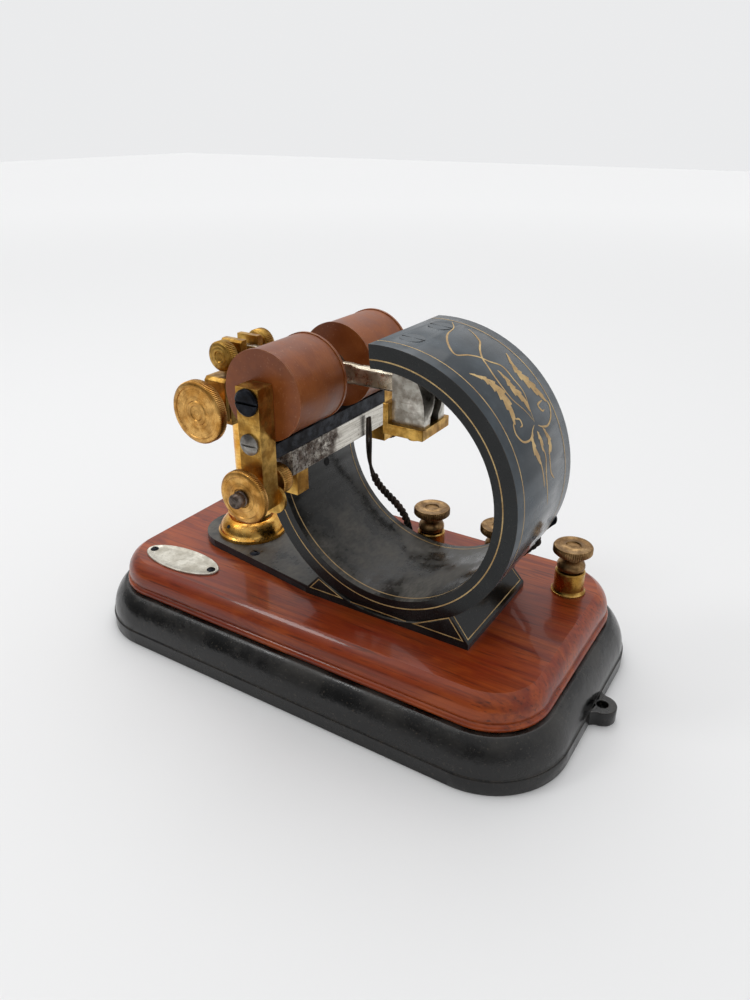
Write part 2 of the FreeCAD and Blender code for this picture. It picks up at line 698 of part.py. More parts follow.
def bias_parts():
    """Large thumb wheel on the screw that shifts the contact carriage."""
    hub_radius, screw_length = as_size(4.5), 15
    start = mirror_y - d.carriage_front - d.running_fit
    hub_length = d.bias_front - d.carriage_front - d.running_fit - hub_radius
    node("bias_wheel", turned(
        "bias_wheel", d.carriage_x, start, d.bias_z, FRONT,
        *wheel_profile(hub_radius, hub_length, d.bias_radius, d.bias_rim)))
    node("bias_screw", rod(
        "bias_screw", d.carriage_x, start, d.bias_z, BACK, d.bias_shank, screw_length))


def contact_parts():
    """Two contact screws with knurled heads, one each side of the tongue."""
    tip = d.tongue_half + PIN_PROUD + d.contact_gap
    shank = d.jaw_reach + d.jaw_thick + d.face_gap - tip
    point_radius, point, taper = 0.8, 0.7, 1.2
    hub_radius, hub_length, rim = as_size(3.6), as_size(2.1), as_size(6)
    for name, side, turn in (("front", -1, FRONT), ("rear", 1, BACK)):
        node(f"contact_screw_{name}", turned(
            f"contact_screw_{name}", d.carriage_x, mirror_y + tip * side, d.contact_z, turn,
            (0, 0), (point_radius, 0), (point_radius, point), (d.contact_shank, taper),
            (d.contact_shank, shank), (0, shank)))
        node(f"contact_head_{name}", turned(
            f"contact_head_{name}", d.carriage_x, mirror_y + (tip + shank) * side, d.contact_z, turn,
            *wheel_profile(hub_radius, hub_length, d.contact_head, rim)))


def coil_parts():
    """Two coils in line, one each side of the tongue, on cores that face it."""
    core_near = d.tongue_half + d.pole_gap
    post_near = d.coil_near + d.coil_length + COIL_PLAY
    shank_radius, length, head, bevel = 2.5, 16, 1.6, 0.8
    screws = []
    for name, side, turn in (("front", -1, FRONT), ("rear", 1, BACK)):
        y = mirror_y + post_near * side + as_size(d.post_thick) * side
        screws.append(turned(
            f"core_screw_{name}", d.coil_x, y, d.coil_z, turn,
            (0, -length), (shank_radius, -length), (shank_radius, 0), (d.core_screw_head, 0),
            (d.core_screw_head, head - bevel * 0.75), (d.core_screw_head - bevel, head), (0, head),
            slot=(1.2, 1, head, 7)))
    core_screws = node("core_screws", group("core_screws", screws))
    for name, side, turn in (("front", -1, FRONT), ("rear", 1, BACK)):
        near = mirror_y + d.coil_near * side
        node(f"bobbin_{name}", turned(
            f"bobbin_{name}", d.coil_x, near, d.coil_z, turn,
            (d.core_radius, 0), (d.coil_radius, 0), (d.coil_radius, d.coil_cheek),
            (d.bobbin_tube, d.coil_cheek), (d.bobbin_tube, d.coil_length - d.coil_cheek),
            (d.coil_radius, d.coil_length - d.coil_cheek), (d.coil_radius, d.coil_length),
            (d.core_radius, d.coil_length)))
        node(f"winding_{name}", turned(
            f"winding_{name}", d.coil_x, near, d.coil_z, turn,
            (d.bobbin_tube, d.coil_cheek), (d.wrap_radius, d.coil_cheek),
            (d.wrap_radius, d.coil_length - d.coil_cheek), (d.bobbin_tube, d.coil_length - d.coil_cheek)))
        bar = rod(f"core_bar_{name}", d.coil_x, mirror_y + core_near * side, d.coil_z, turn,
                  d.core_radius, post_near - core_near)
        node(f"core_{name}", cut(f"core_{name}", bar, core_screws))
    return core_screws, post_near


def electromagnet_frame(core_screws, post_near):
    """End posts and the bar that joins them, which carry the coils along the yoke."""
    shank_radius, length, rim, rise = 2, 6, 0.8, 1
    small = []
    for name, side, turn in (("front", -1, FRONT), ("rear", 1, BACK)):
        y = mirror_y + (post_near + d.post_thick) * side
        small.append(turned(
            f"post_screw_{name}", d.coil_x, y, d.post_screw_z, turn,
            (0, -length), (shank_radius, -length), (shank_radius, 0), (d.post_screw_head, 0),
            (d.post_screw_head, rim), (0, rim + rise, crown(SIZES["post_screw_head"], rise), True),
            slot=(1, 0.9, rim + rise, 6)))
    post_screws = node("post_screws", group("post_screws", small))
    boss_radius, boss_wall, boss_rise = 6.5, 1.6, 1.2
    adjust_bore = rod("adjust_bore", d.coil_x, mirror_y - post_near - d.post_thick - OVER, d.adjust_z, BACK,
                      d.adjust_shank + d.running_fit, d.post_thick + boss_wall + boss_rise + OVER * 2)
    for name, side in (("front", -1), ("rear", 1)):
        near, far = span(post_near * side, (post_near + d.post_thick) * side)
        block = box(f"post_block_{name}", d.coil_x - d.post_half, d.coil_x + d.post_half,
                    mirror_y + near, mirror_y + far, d.post_bottom, d.post_top)
        tools = [core_screws, post_screws] + ([adjust_bore] if side < 0 else [])
        node(f"end_post_{name}", cut(f"end_post_{name}", block, *tools))
    node("slide_bar", box(
        "slide_bar", d.coil_x - d.post_half, d.coil_x + d.post_half, mirror_y - post_near,
        mirror_y + post_near, d.packing_bottom, d.packing_top))
    boss = turned(
        "boss_blank", d.coil_x + 2, mirror_y - post_near, d.post_bottom + 1.6, BACK,
        (0, 0), (boss_radius, 0), (boss_radius, boss_wall),
        (0, boss_wall + boss_rise, crown(boss_radius, boss_rise), True))
    node("post_boss", cut("post_boss", boss, adjust_bore))
    disc_shift, disc_radius, disc_thick = 4.5, 10, 3
    node("rear_disc", rod(
        "rear_disc", d.coil_x + disc_shift, mirror_y + post_near + d.post_thick, d.adjust_z + 1, BACK,
        disc_radius, disc_thick))


def yoke_parts():
    """Iron yoke bar bedded on the ring's bore, and the brass block under it."""
    front, back = mirror_y - d.yoke_front, mirror_y + d.yoke_back
    thread_length, block_length, block_drop = 16, 8, 2
    bar = box("yoke_blank", d.coil_x - d.yoke_half, d.coil_x + d.yoke_half, front, back,
              d.yoke_bottom, d.yoke_top)
    bore = rod("yoke_bed", d.magnet_x, front - 1, d.magnet_z, BACK, d.magnet_radius - d.magnet_thick,
               d.yoke_front + d.yoke_back + 2)
    thread = rod("yoke_thread", d.coil_x, front - 1, d.adjust_z, BACK, d.adjust_shank + d.running_fit,
                 thread_length)
    node("yoke_bar", cut("yoke_bar", common("yoke_bedded", bar, bore), thread))
    ring_front = mirror_y - d.magnet_width / 2
    block = box("guide_blank", d.coil_x - d.yoke_half + 1, d.coil_x + d.yoke_half - 1, ring_front,
                ring_front + block_length, d.post_bottom - block_drop, d.yoke_bottom)
    seat = rod("guide_bed", d.magnet_x, mirror_y - d.magnet_width, d.magnet_z, BACK,
               d.magnet_radius - d.magnet_thick, d.magnet_width * 2)
    relief = rod("guide_thread", d.coil_x, mirror_y - d.magnet_width, d.adjust_z, BACK,
                 d.adjust_shank + d.face_gap, d.magnet_width * 2)
    node("guide_block", cut("guide_block", common("guide_bedded", block, seat), relief))


def adjust_parts(post_near):
    """Lower thumb wheel, its screw and the knurled collar behind the post."""
    wheel_y = mirror_y - post_near - d.post_thick - d.face_gap
    stub_length, stub_radius, stub_bevel = 5, 4.5, 0.9
    hub_radius, hub_length = as_size(5), as_size(3.2)
    node("adjust_wheel", turned(
        "adjust_wheel", d.coil_x, wheel_y, d.adjust_z, FRONT,
        *wheel_profile(hub_radius, hub_length, d.adjust_radius, d.adjust_rim)))
    node("adjust_stub", turned(
        "adjust_stub", d.coil_x, wheel_y - hub_length - d.adjust_rim, d.adjust_z, FRONT,
        (0, 0), (stub_radius, 0), (stub_radius, stub_length - 1), (stub_radius - stub_bevel, stub_length),
        (0, stub_length)))
    collar_step, collar_length, screw_reach = 3.2, 6, 22
    collar_y = mirror_y - post_near + collar_step
    node("adjust_screw", rod(
        "adjust_screw", d.coil_x, wheel_y, d.adjust_z, BACK, d.adjust_shank,
        d.post_thick + d.face_gap + screw_reach))
    collar = rod("collar_blank", d.coil_x, collar_y, d.adjust_z, BACK, d.adjust_collar, collar_length)
    hole = rod("collar_hole", d.coil_x, collar_y - 1, d.adjust_z, BACK, d.adjust_shank, collar_length + 2)
    node("adjust_collar", cut("adjust_collar", collar, hole))


def terminals():
    """Three binding posts: fixed bodies in one node, each with a clamp screw and a head."""
    blanks = []
    neck, flange, bulb_radius, bulb_height, neck_low = 3.8, 4.3, 5.9, 4.4, 5
    screw_radius, floor_thick, bevel, recess, recess_radius = 2, 1.5, 0.6, 0.7, 3.6
    top, height = d.terminal_height, d.clamp_height
    for number in range(3):
        x = d.terminal_first + d.terminal_pitch * number
        blank = turned(
            f"terminal_blank_{number + 1}", x, terminal_y, wood_top, UP,
            (0, 0), (d.terminal_radius + 1, 0), (d.terminal_radius + 1, 0.8),
            (d.terminal_radius, 2.2, 1.8, False), (d.terminal_radius, top - 0.5),
            (d.terminal_radius - 0.5, top), (0, top))
        bore = rod(f"terminal_bore_{number + 1}", x, terminal_y, wood_top + floor_thick, UP,
                   screw_radius + d.running_fit, top)
        blanks.append(cut(f"terminal_body_{number + 1}", blank, bore))
        low = wood_top + top + d.face_gap
        node(f"clamp_screw_{number + 1}", rod(
            f"clamp_screw_{number + 1}", x, terminal_y, wood_top + 2, UP, screw_radius,
            top - 2 + d.face_gap))
        node(f"clamp_head_{number + 1}", turned(
            f"clamp_head_{number + 1}", x, terminal_y, low, UP,
            (0, 0), (bulb_radius, 0), (bulb_radius, bulb_height, 2.6, True),
            (neck, neck_low), (neck, height - flange), (d.terminal_head - bevel * 2, height - flange + bevel),
            (d.terminal_head, height - flange + bevel * 2), (d.terminal_head, height - bevel),
            (d.terminal_head - bevel, height), (recess_radius, height),
            (recess_radius - 0.4, height - recess), (0, height - recess)))
    node("terminal_bodies", group("terminal_bodies", blanks))


def tube(name, radius, route):
    """A held lead: straight runs joined by tangent arcs as large as the runs allow."""
    points = [Vector(*[as_size(amount).value for amount in point]) for point in route]
    edges = []
    start = points[0]
    for before, corner, after in zip(points, points[1:], points[2:]):
        back, ahead = before - corner, after - corner
        shorter = min(back.Length, ahead.Length)
        turn = math.pi - back.getAngle(ahead)
        reach = 0.45 * shorter
        bend = reach / math.tan(turn / 2)
        print(f"{name}: bend radius {bend:.1f}")
        inlet = corner + back.normalize() * reach
        outlet = corner + ahead.normalize() * reach
        centre = corner + (inlet + outlet - corner * 2).normalize() * (bend / math.cos(turn / 2))
        middle = centre + (corner - centre).normalize() * bend
        edges.append(Part.LineSegment(start, inlet).toShape())
        edges.append(Part.Arc(inlet, middle, outlet).toShape())
        start = outlet
    edges.append(Part.LineSegment(start, points[-1]).toShape())
    path = Part.Wire(edges)
    thickness = as_size(radius).value
    section = Part.Wire([Part.Circle(points[0], points[1] - points[0], thickness).toShape()])
    solid = path.makePipeShell([section], True, False)
    ratio = solid.Volume / (math.pi * thickness ** 2 * path.Length)
    print(f"{name}: volume over section times length {ratio:.3f}")
    lead = doc.addObject("Part::Feature", name)
    lead.Shape = solid
    return node(name, lead)


def leads():
    """The coils' lead pair, the laced bundle along the ring and the earth wire with its lug."""
    y = d.lead_y
    tube("coil_leads", d.lead_radius, (
        (-7.4, y, 104), (-6.4, y + 0.6, 93), (-7.6, y, 82), (-7.2, y + 0.4, 72.8)))
    tube("laced_bundle", d.bundle_radius, (
        (-7.4, y + 0.4, 71), (-1.2, y, 64), (3.6, y + 0.6, 57.6), (9.4, y + 0.4, 52), (12.4, y + 0.8, 45),
        (13, y + 1.6, wood_top + 0.3)))
    tube("earth_wire", d.earth_radius, (
        (77, y + 0.9, 62.4), (73, y + 1.2, 55), (67.6, y + 0.6, 48.6), (66.4, y + 0.8, wood_top + 0.3)))
    back = mirror_y + d.magnet_width / 2
    screw_x, screw_z = d.magnet_x + d.earth_right, d.magnet_z - d.earth_drop
    strip, shank_radius, grip, head_radius, head, rise = 1.2, 1.3, 5, 2.8, 1, 0.8
    top = strip + head + rise
    screw = turned(
        "earth_screw", screw_x, back, screw_z, BACK,
        (0, -grip), (shank_radius, -grip), (shank_radius, strip), (head_radius, strip),
        (head_radius, strip + head), (0, top, crown(head_radius, rise), True), slot=(0.8, 0.7, top, 4))
    node("earth_screw", screw)
    body = new_body("lug_strip")
    sketch = sketch_on(body, "XZ_Plane", "lug_strip_outline")
    eye, tail, length, waist = 4, 1.7, 12, 30
    outline(
        sketch, (-eye, 0, eye, True), (-tail, -length, waist, False), (tail, -length),
        (eye, 0, waist, False), (0, eye, eye, True))
    pad(body, sketch, strip)
    slant = Rotation(Vector(0, 1, 0), 24)
    place(body, screw_x, back + strip, screw_z, slant)
    node("earth_lug", cut("earth_lug", body, screw))
    return screw


def build():
    screws = base_screws()
    bolts = magnet_bolts()
    wood_fixings = [screws, bolts]
    plate_screws = small_screws(
        "name_plate_screws",
        [(plate_x + d.plate_screw_reach * side, plate_y) for side in (-1, 1)],
        wood_top + d.plate_thick, 2, 0.9, 0.9, 8)
    foot_screws = small_screws(
        "foot_screws",
        [(d.foot_screw_x, mirror_y + d.foot_screw_reach * side) for side in (-1, 1)],
        wood_top + d.tongue_thick, 2.6, 1.1, 1.3, 11)
    wood_fixings += [plate_screws, foot_screws]
    iron_base([screws, bolts])
    name_plate(plate_screws)
    pillar = pillar_parts(wood_fixings)
    wood_base(wood_fixings)
    magnet_foot([foot_screws, pillar, bolts])
    pole = pole_screws()
    strap_screws = pivot_parts()
    for name, side in (("cheek_front", -1), ("cheek_rear", 1)):
        pole_cheek(name, side, [pole, strap_screws])
    armature()
    contact_bed(pillar)
    carriage()
    bias_parts()
    contact_parts()
    core_screws, post_near = coil_parts()
    electromagnet_frame(core_screws, post_near)
    yoke_parts()
    adjust_parts(post_near)
    terminals()
    earth_screw = leads()
    magnet_ring([pole, bolts, earth_screw])


build()
doc.recompute()

# Nothing is written unless every object came out sound
for item in doc.Objects:
    if {"Invalid", "Error"} & set(item.State):
        raise RuntimeError(f"{item.Name} did not build: {item.State}")
for item in nodes:
    if item.Shape.isNull() or not item.Shape.isValid() or not item.Shape.Solids:
        raise RuntimeError(f"{item.Label} has no sound shape")

os.makedirs("parts", exist_ok=True)
for item in nodes:
    item.Shape.exportStep(f"parts/{item.Label}.step")
    print(f"{item.Label}: {len(item.Shape.Solids)} solids, {item.Shape.Volume:.1f} mm3")
print(len(nodes), "nodes")
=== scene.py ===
import bpy
import math
from mathutils import Matrix, Vector


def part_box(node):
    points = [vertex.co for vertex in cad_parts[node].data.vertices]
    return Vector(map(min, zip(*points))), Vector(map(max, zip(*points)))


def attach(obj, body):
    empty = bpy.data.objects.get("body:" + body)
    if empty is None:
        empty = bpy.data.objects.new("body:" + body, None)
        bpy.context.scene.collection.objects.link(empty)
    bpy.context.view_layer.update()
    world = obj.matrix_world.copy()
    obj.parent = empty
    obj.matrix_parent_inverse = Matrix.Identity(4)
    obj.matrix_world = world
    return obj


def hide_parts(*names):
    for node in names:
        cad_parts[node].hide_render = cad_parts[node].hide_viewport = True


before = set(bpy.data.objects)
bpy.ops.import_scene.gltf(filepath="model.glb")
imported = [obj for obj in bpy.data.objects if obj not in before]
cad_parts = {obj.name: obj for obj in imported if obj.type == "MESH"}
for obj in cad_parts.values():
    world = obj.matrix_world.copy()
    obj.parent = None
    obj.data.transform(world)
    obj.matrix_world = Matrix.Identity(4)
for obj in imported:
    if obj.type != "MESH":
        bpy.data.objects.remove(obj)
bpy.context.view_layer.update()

MM = 0.001

# The camera that took the photograph, solved from the object's outlines
CAMERA_PLACE = (0.17952, -0.27336, 0.23088)
CAMERA_TURN = (31.97, 26.03, 0.12)
FOCAL_LENGTH, PICTURE_HEIGHT = 787.9, 1000

# Places read from the construction, in millimetres
RING_X, RING_Y, RING_Z = 31, -4.5, 96.6
RING_OUTSIDE, RING_BORE, RING_HALF_WIDTH = 58.8, 49.5, 27.75
WOOD_TOP = 36.5
CONTACT_X, CONTACT_Z, BIAS_Z = -60, 134.5, 113.4
COIL_X, ADJUST_Z = -14.5, 94
PROUD = 0.04
FOOT_X, FOOT_HALF_LOW, FOOT_HALF_TOP = 33.5, 40.65, 29.5
LINE_WIDTH, FRAME_WIDTH = 0.26, 0.45
CABLE_Y = 25.2


# Camera, lamps and floor

def set_camera():
    """Stands where the photograph was taken from."""
    azimuth, elevation, roll = [math.radians(turn) for turn in CAMERA_TURN]
    back = Vector((
        math.sin(azimuth) * math.cos(elevation),
        -math.cos(azimuth) * math.cos(elevation),
        math.sin(elevation)))
    side = Vector((math.cos(azimuth), math.sin(azimuth), 0))
    up = back.cross(side)
    turn = Matrix((side, up, back)).transposed() @ Matrix.Rotation(roll, 3, "Z")
    data = bpy.data.cameras.new("camera")
    data.sensor_fit = "VERTICAL"
    data.sensor_height = 24
    data.lens = data.sensor_height * FOCAL_LENGTH / PICTURE_HEIGHT
    data.clip_start = 0.01
    camera = bpy.data.objects.new("camera", data)
    camera.matrix_world = Matrix.Translation(CAMERA_PLACE) @ turn.to_4x4()
    bpy.context.scene.collection.objects.link(camera)
    bpy.context.scene.camera = camera


def add_lamp(name, place, size, power, target=(0, 0, 0.08)):
    """A round soft lamp that points at the object."""
    data = bpy.data.lights.new(name, "AREA")
    data.shape = "DISK"
    data.size = size
    data.energy = power
    lamp = bpy.data.objects.new(name, data)
    lamp.location = place
    lamp.rotation_euler = (Vector(place) - Vector(target)).to_track_quat("Z", "Y").to_euler()
    bpy.context.scene.collection.objects.link(lamp)


def set_light():
    """A pale room, brighter overhead and behind than in front, two soft lamps and a broad roof light."""
    bpy.context.scene.view_settings.view_transform = "Standard"
    world = bpy.data.worlds.new("pale room")
    world.use_nodes = True
    bpy.context.scene.world = world
    bench = Bench(world.node_tree)
    world.node_tree.nodes.clear()
    direction = bench.lay("TexCoord").outputs["Generated"]
    across, along, height = bench.split(direction)
    behind = bench.math("ADD", bench.math("MULTIPLY", across, 0.25), bench.math("MULTIPLY", along, 0.9))
    pale = bench.levels(behind, -0.85, 0.3, 0.14, 0.72)
    above = bench.levels(height, 0.25, 0.95, 0, 1)
    strength = bench.blend_value(above, pale, 0.84)
    seen = bench.lay("LightPath").outputs["Is Camera Ray"]
    strength = bench.blend_value(seen, strength, 0.84)
    shader = bench.lay("Background")
    shader.inputs["Color"].default_value = (0.985, 0.99, 1, 1)
    bench.join(strength, shader.inputs["Strength"])
    bench.join(shader.outputs[0], bench.lay("OutputWorld").inputs["Surface"])
    add_lamp("overhead lamp", (-0.3, 0.45, 1.2), 0.6, 1.6)
    add_lamp("front lamp", (-0.62, -0.5, 0.95), 0.26, 1.7)
    sky = bpy.data.lights.new("roof light", "SUN")
    sky.energy = 0.8
    sky.angle = math.radians(60)
    roof = bpy.data.objects.new("roof light", sky)
    roof.rotation_euler = (math.radians(-18), math.radians(-14), 0)
    bpy.context.scene.collection.objects.link(roof)


def lay_floor():
    """A pale floor that runs far behind the object."""
    mesh = bpy.data.meshes.new("floor")
    reach = 4
    mesh.from_pydata(
        [(-reach, -reach, 0), (reach, -reach, 0), (reach, reach, 0), (-reach, reach, 0)], [], [(0, 1, 2, 3)])
    floor = bpy.data.objects.new("floor", mesh)
    bpy.context.scene.collection.objects.link(floor)
    material, bench, shader = new_finish("pale floor")
    shader.inputs["Roughness"].default_value = 0.75
    shader.inputs["Specular IOR Level"].default_value = 0.2
    shader.inputs["Base Color"].default_value = (*tone("e8e8e8"), 1)
    across, along, _ = bench.split(bench.lay("NewGeometry").outputs["Position"])
    squares = [bench.math("POWER", side, 2) for side in (across, along)]
    distance = bench.math("SQRT", bench.math("ADD", *squares))
    seen = bench.lay("LightPath").outputs["Is Camera Ray"]
    shader.inputs["Emission Color"].default_value = (1, 1, 1, 1)
    bench.join(bench.math("MULTIPLY", seen, bench.levels(distance, 0.5, 2.2, 0, 0.13)),
               shader.inputs["Emission Strength"])
    mesh.materials.append(material)


# Materials

def tone(code):
    """A colour from its six hexadecimal digits, in the linear values that nodes take."""
    linear = []
    for start in (0, 2, 4):
        part = int(code[start:start + 2], 16) / 255
        linear.append(part / 12.92 if part <= 0.04045 else ((part + 0.055) / 1.055) ** 2.4)
    return tuple(linear)


class Bench:
    """Lays nodes in one material or group and joins them."""

    def __init__(self, tree):
        self.tree = tree

    def lay(self, kind, **settings):
        made = self.tree.nodes.new("ShaderNode" + kind)
        for name, value in settings.items():
            setattr(made, name, value)
        return made

    def join(self, source, target):
        self.tree.links.new(source, target)

    def feed(self, socket, value):
        """Joins an output to a socket, or writes a plain value on it."""
        if isinstance(value, bpy.types.NodeSocket):
            self.join(value, socket)
        elif isinstance(value, str):
            socket.default_value = (*tone(value), 1)
        else:
            socket.default_value = value

    def math(self, operation, first, second=0.0, clamp=False):
        made = self.lay("Math", operation=operation, use_clamp=clamp)
        self.feed(made.inputs[0], first)
        self.feed(made.inputs[1], second)
        return made.outputs[0]

    def vector(self, operation, first, second=(0, 0, 0)):
        made = self.lay("VectorMath", operation=operation)
        self.feed(made.inputs[0], first)
        self.feed(made.inputs[1], second)
        return made.outputs["Value" if operation in ("DOT_PRODUCT", "LENGTH") else "Vector"]

    def split(self, vector):
        made = self.lay("SeparateXYZ")
        self.join(vector, made.inputs[0])
        return made.outputs

    def levels(self, value, low, high, to_low=0.0, to_high=1.0, smooth=True):
        """Takes a value from one range to another."""
        made = self.lay("MapRange", interpolation_type="SMOOTHSTEP" if smooth else "LINEAR")
        for name, amount in (("Value", value), ("From Min", low), ("From Max", high),
                             ("To Min", to_low), ("To Max", to_high)):
            self.feed(made.inputs[name], amount)
        return made.outputs["Result"]

    def blend(self, factor, first, second):
        """Mixes two colours."""
        made = self.lay("Mix", data_type="RGBA")
        self.feed(made.inputs["Factor"], factor)
        self.feed(made.inputs[6], first)
        self.feed(made.inputs[7], second)
        return made.outputs[2]

    def blend_value(self, factor, first, second):
        made = self.lay("Mix", data_type="FLOAT")
        self.feed(made.inputs["Factor"], factor)
        self.feed(made.inputs[2], first)
        self.feed(made.inputs[3], second)
        return made.outputs[0]

    def noise(self, place, scale, detail=3.0, rough=0.55):
        made = self.lay("TexNoise")
        self.feed(made.inputs["Vector"], place)
        self.feed(made.inputs["Scale"], scale)
        self.feed(made.inputs["Detail"], detail)
        self.feed(made.inputs["Roughness"], rough)
        return made.outputs["Fac"]

    def stretched(self, place, amounts):
        """Coordinates scaled unevenly, so that a noise runs out into streaks."""
        return self.vector("MULTIPLY", place, amounts)

    def bump(self, height, strength, distance):
        made = self.lay("Bump")
        self.feed(made.inputs["Height"], height)
        made.inputs["Strength"].default_value = strength
        made.inputs["Distance"].default_value = distance
        return made.outputs["Normal"]

    def use(self, group, **values):
        """Places a shared group and sets its inputs."""
        made = self.lay("Group")
        made.node_tree = group
        for name, value in values.items():
            self.feed(made.inputs[name.replace("_", " ")], value)
        return made.outputs

    def place(self):
        """Where a point of the surface is in the object's own space, in metres."""
        return self.lay("TexCoord").outputs["Object"]


def new_finish(name):
    material = bpy.data.materials.new(name)
    material.use_nodes = True
    return material, Bench(material.node_tree), material.node_tree.nodes["Principled BSDF"]


def new_group(name, takes, gives):
    """An empty shader group with its sockets; gives its bench, inputs and outputs."""
    group = bpy.data.node_groups.new(name, "ShaderNodeTree")
    for socket, kind, value in takes:
        made = group.interface.new_socket(socket, in_out="INPUT", socket_type="NodeSocket" + kind)
        made.default_value = value
    for socket, kind in gives:
        group.interface.new_socket(socket, in_out="OUTPUT", socket_type="NodeSocket" + kind)
    start = group.nodes.new("NodeGroupInput")
    end = group.nodes.new("NodeGroupOutput")
    return group, Bench(group), start.outputs, end.inputs


def make_age():
    """Wear that most finishes share: soft patches, specks, fine scratches, rubbed edges and lying dust."""
    group, bench, takes, gives = new_group(
        "age",
        [("Patch size", "Float", 60.0), ("Edge reach", "Float", 0.0006)],
        [("Patches", "Float"), ("Specks", "Float"), ("Scratches", "Float"), ("Edges", "Float"),
         ("Lying", "Float")])
    place = bench.place()
    patches = bench.noise(place, takes["Patch size"], 4.0, 0.6)
    bench.join(bench.levels(patches, 0.35, 0.68), gives["Patches"])
    specks = bench.noise(place, 900.0, 2.0)
    bench.join(bench.levels(specks, 0.62, 0.72), gives["Specks"])
    warp = bench.noise(place, 25.0, 2.0)
    lines = []
    for amounts, scale in (((1, 9, 2), 260.0), ((8, 1, 3), 310.0)):
        streak = bench.noise(bench.vector("ADD", bench.stretched(place, amounts), warp), scale, 1.0)
        lines.append(bench.levels(streak, 0.66, 0.74))
    both = bench.math("MAXIMUM", lines[0], lines[1])
    bench.join(bench.math("MULTIPLY", both, bench.levels(patches, 0.4, 0.65)), gives["Scratches"])
    eased = bench.lay("Bevel", samples=4)
    bench.join(takes["Edge reach"], eased.inputs["Radius"])
    surface = bench.lay("NewGeometry").outputs["Normal"]
    agreement = bench.vector("DOT_PRODUCT", eased.outputs[0], surface)
    sharp = bench.levels(agreement, 0.985, 0.86, 0, 1)
    broken = bench.levels(bench.noise(place, 350.0, 3.0), 0.38, 0.62)
    bench.join(bench.math("MULTIPLY", sharp, broken), gives["Edges"])
    upward = bench.levels(bench.split(surface)[2], 0.1, 0.95)
    bench.join(bench.math("MULTIPLY", upward, bench.levels(patches, 0.3, 0.7)), gives["Lying"])
    return group


def make_turning():
    """Rings left by the lathe about a centre, along an axis."""
    group, bench, takes, gives = new_group(
        "turning marks",
        [("Centre", "Vector", (0, 0, 0)), ("Axis", "Vector", (0, 1, 0)), ("Rings", "Float", 1500.0)],
        [("Mark", "Float"), ("Radius", "Float")])
    offset = bench.vector("SUBTRACT", bench.place(), takes["Centre"])
    along = bench.vector("DOT_PRODUCT", offset, takes["Axis"])
    scaled = bench.lay("VectorMath", operation="SCALE")
    bench.join(takes["Axis"], scaled.inputs[0])
    bench.join(along, scaled.inputs["Scale"])
    radius = bench.vector("LENGTH", bench.vector("SUBTRACT", offset, scaled.outputs["Vector"]))
    marks = bench.lay("TexNoise", noise_dimensions="1D")
    travel = bench.math("ADD", radius, bench.math("MULTIPLY", along, 0.7))
    bench.join(bench.math("MULTIPLY", travel, takes["Rings"]), marks.inputs["W"])
    marks.inputs["Scale"].default_value = 1
    marks.inputs["Detail"].default_value = 2
    bench.join(marks.outputs["Fac"], gives["Mark"])
    bench.join(radius, gives["Radius"])
    return group


def make_brushing():
    """Fine straight grinding lines that run along one direction."""
    group, bench, takes, gives = new_group(
        "grinding lines", [("Stretch", "Vector", (0.05, 1, 1)), ("Fineness", "Float", 1600.0)],
        [("Line", "Float")])
    place = bench.vector("MULTIPLY", bench.place(), takes["Stretch"])
    bench.join(bench.noise(place, takes["Fineness"], 2.0), gives["Line"])
    return group


def japanned_iron(shared):
    """Black japanning on cast iron, dusty on top and worn brown at its edges."""
    material, bench, shader = new_finish("japanned iron")
    age = bench.use(shared["age"], Patch_size=45.0, Edge_reach=0.0012)
    colour = bench.blend(age["Patches"], "0a0a0a", "131211")
    dust = bench.levels(age["Lying"], 0.1, 0.9, 0, 0.5)
    colour = bench.blend(dust, colour, "3b3833")
    colour = bench.blend(bench.math("MULTIPLY", age["Specks"], 0.35), colour, "5d564c")
    colour = bench.blend(bench.math("MULTIPLY", age["Edges"], 0.5), colour, "4a4238")
    bench.join(colour, shader.inputs["Base Color"])
    rough = bench.levels(age["Patches"], 0, 1, 0.17, 0.3)
    rough = bench.blend_value(bench.math("MULTIPLY", age["Lying"], 0.6), rough, 0.5)
    bench.join(rough, shader.inputs["Roughness"])
    cast = bench.noise(bench.place(), 220.0, 5.0, 0.6)
    height = bench.math("ADD", cast, bench.math("MULTIPLY", age["Scratches"], -0.3))
    bench.join(bench.bump(height, 0.3, 0.0006), shader.inputs["Normal"])
    shader.inputs["Specular IOR Level"].default_value = 0.5
    return material


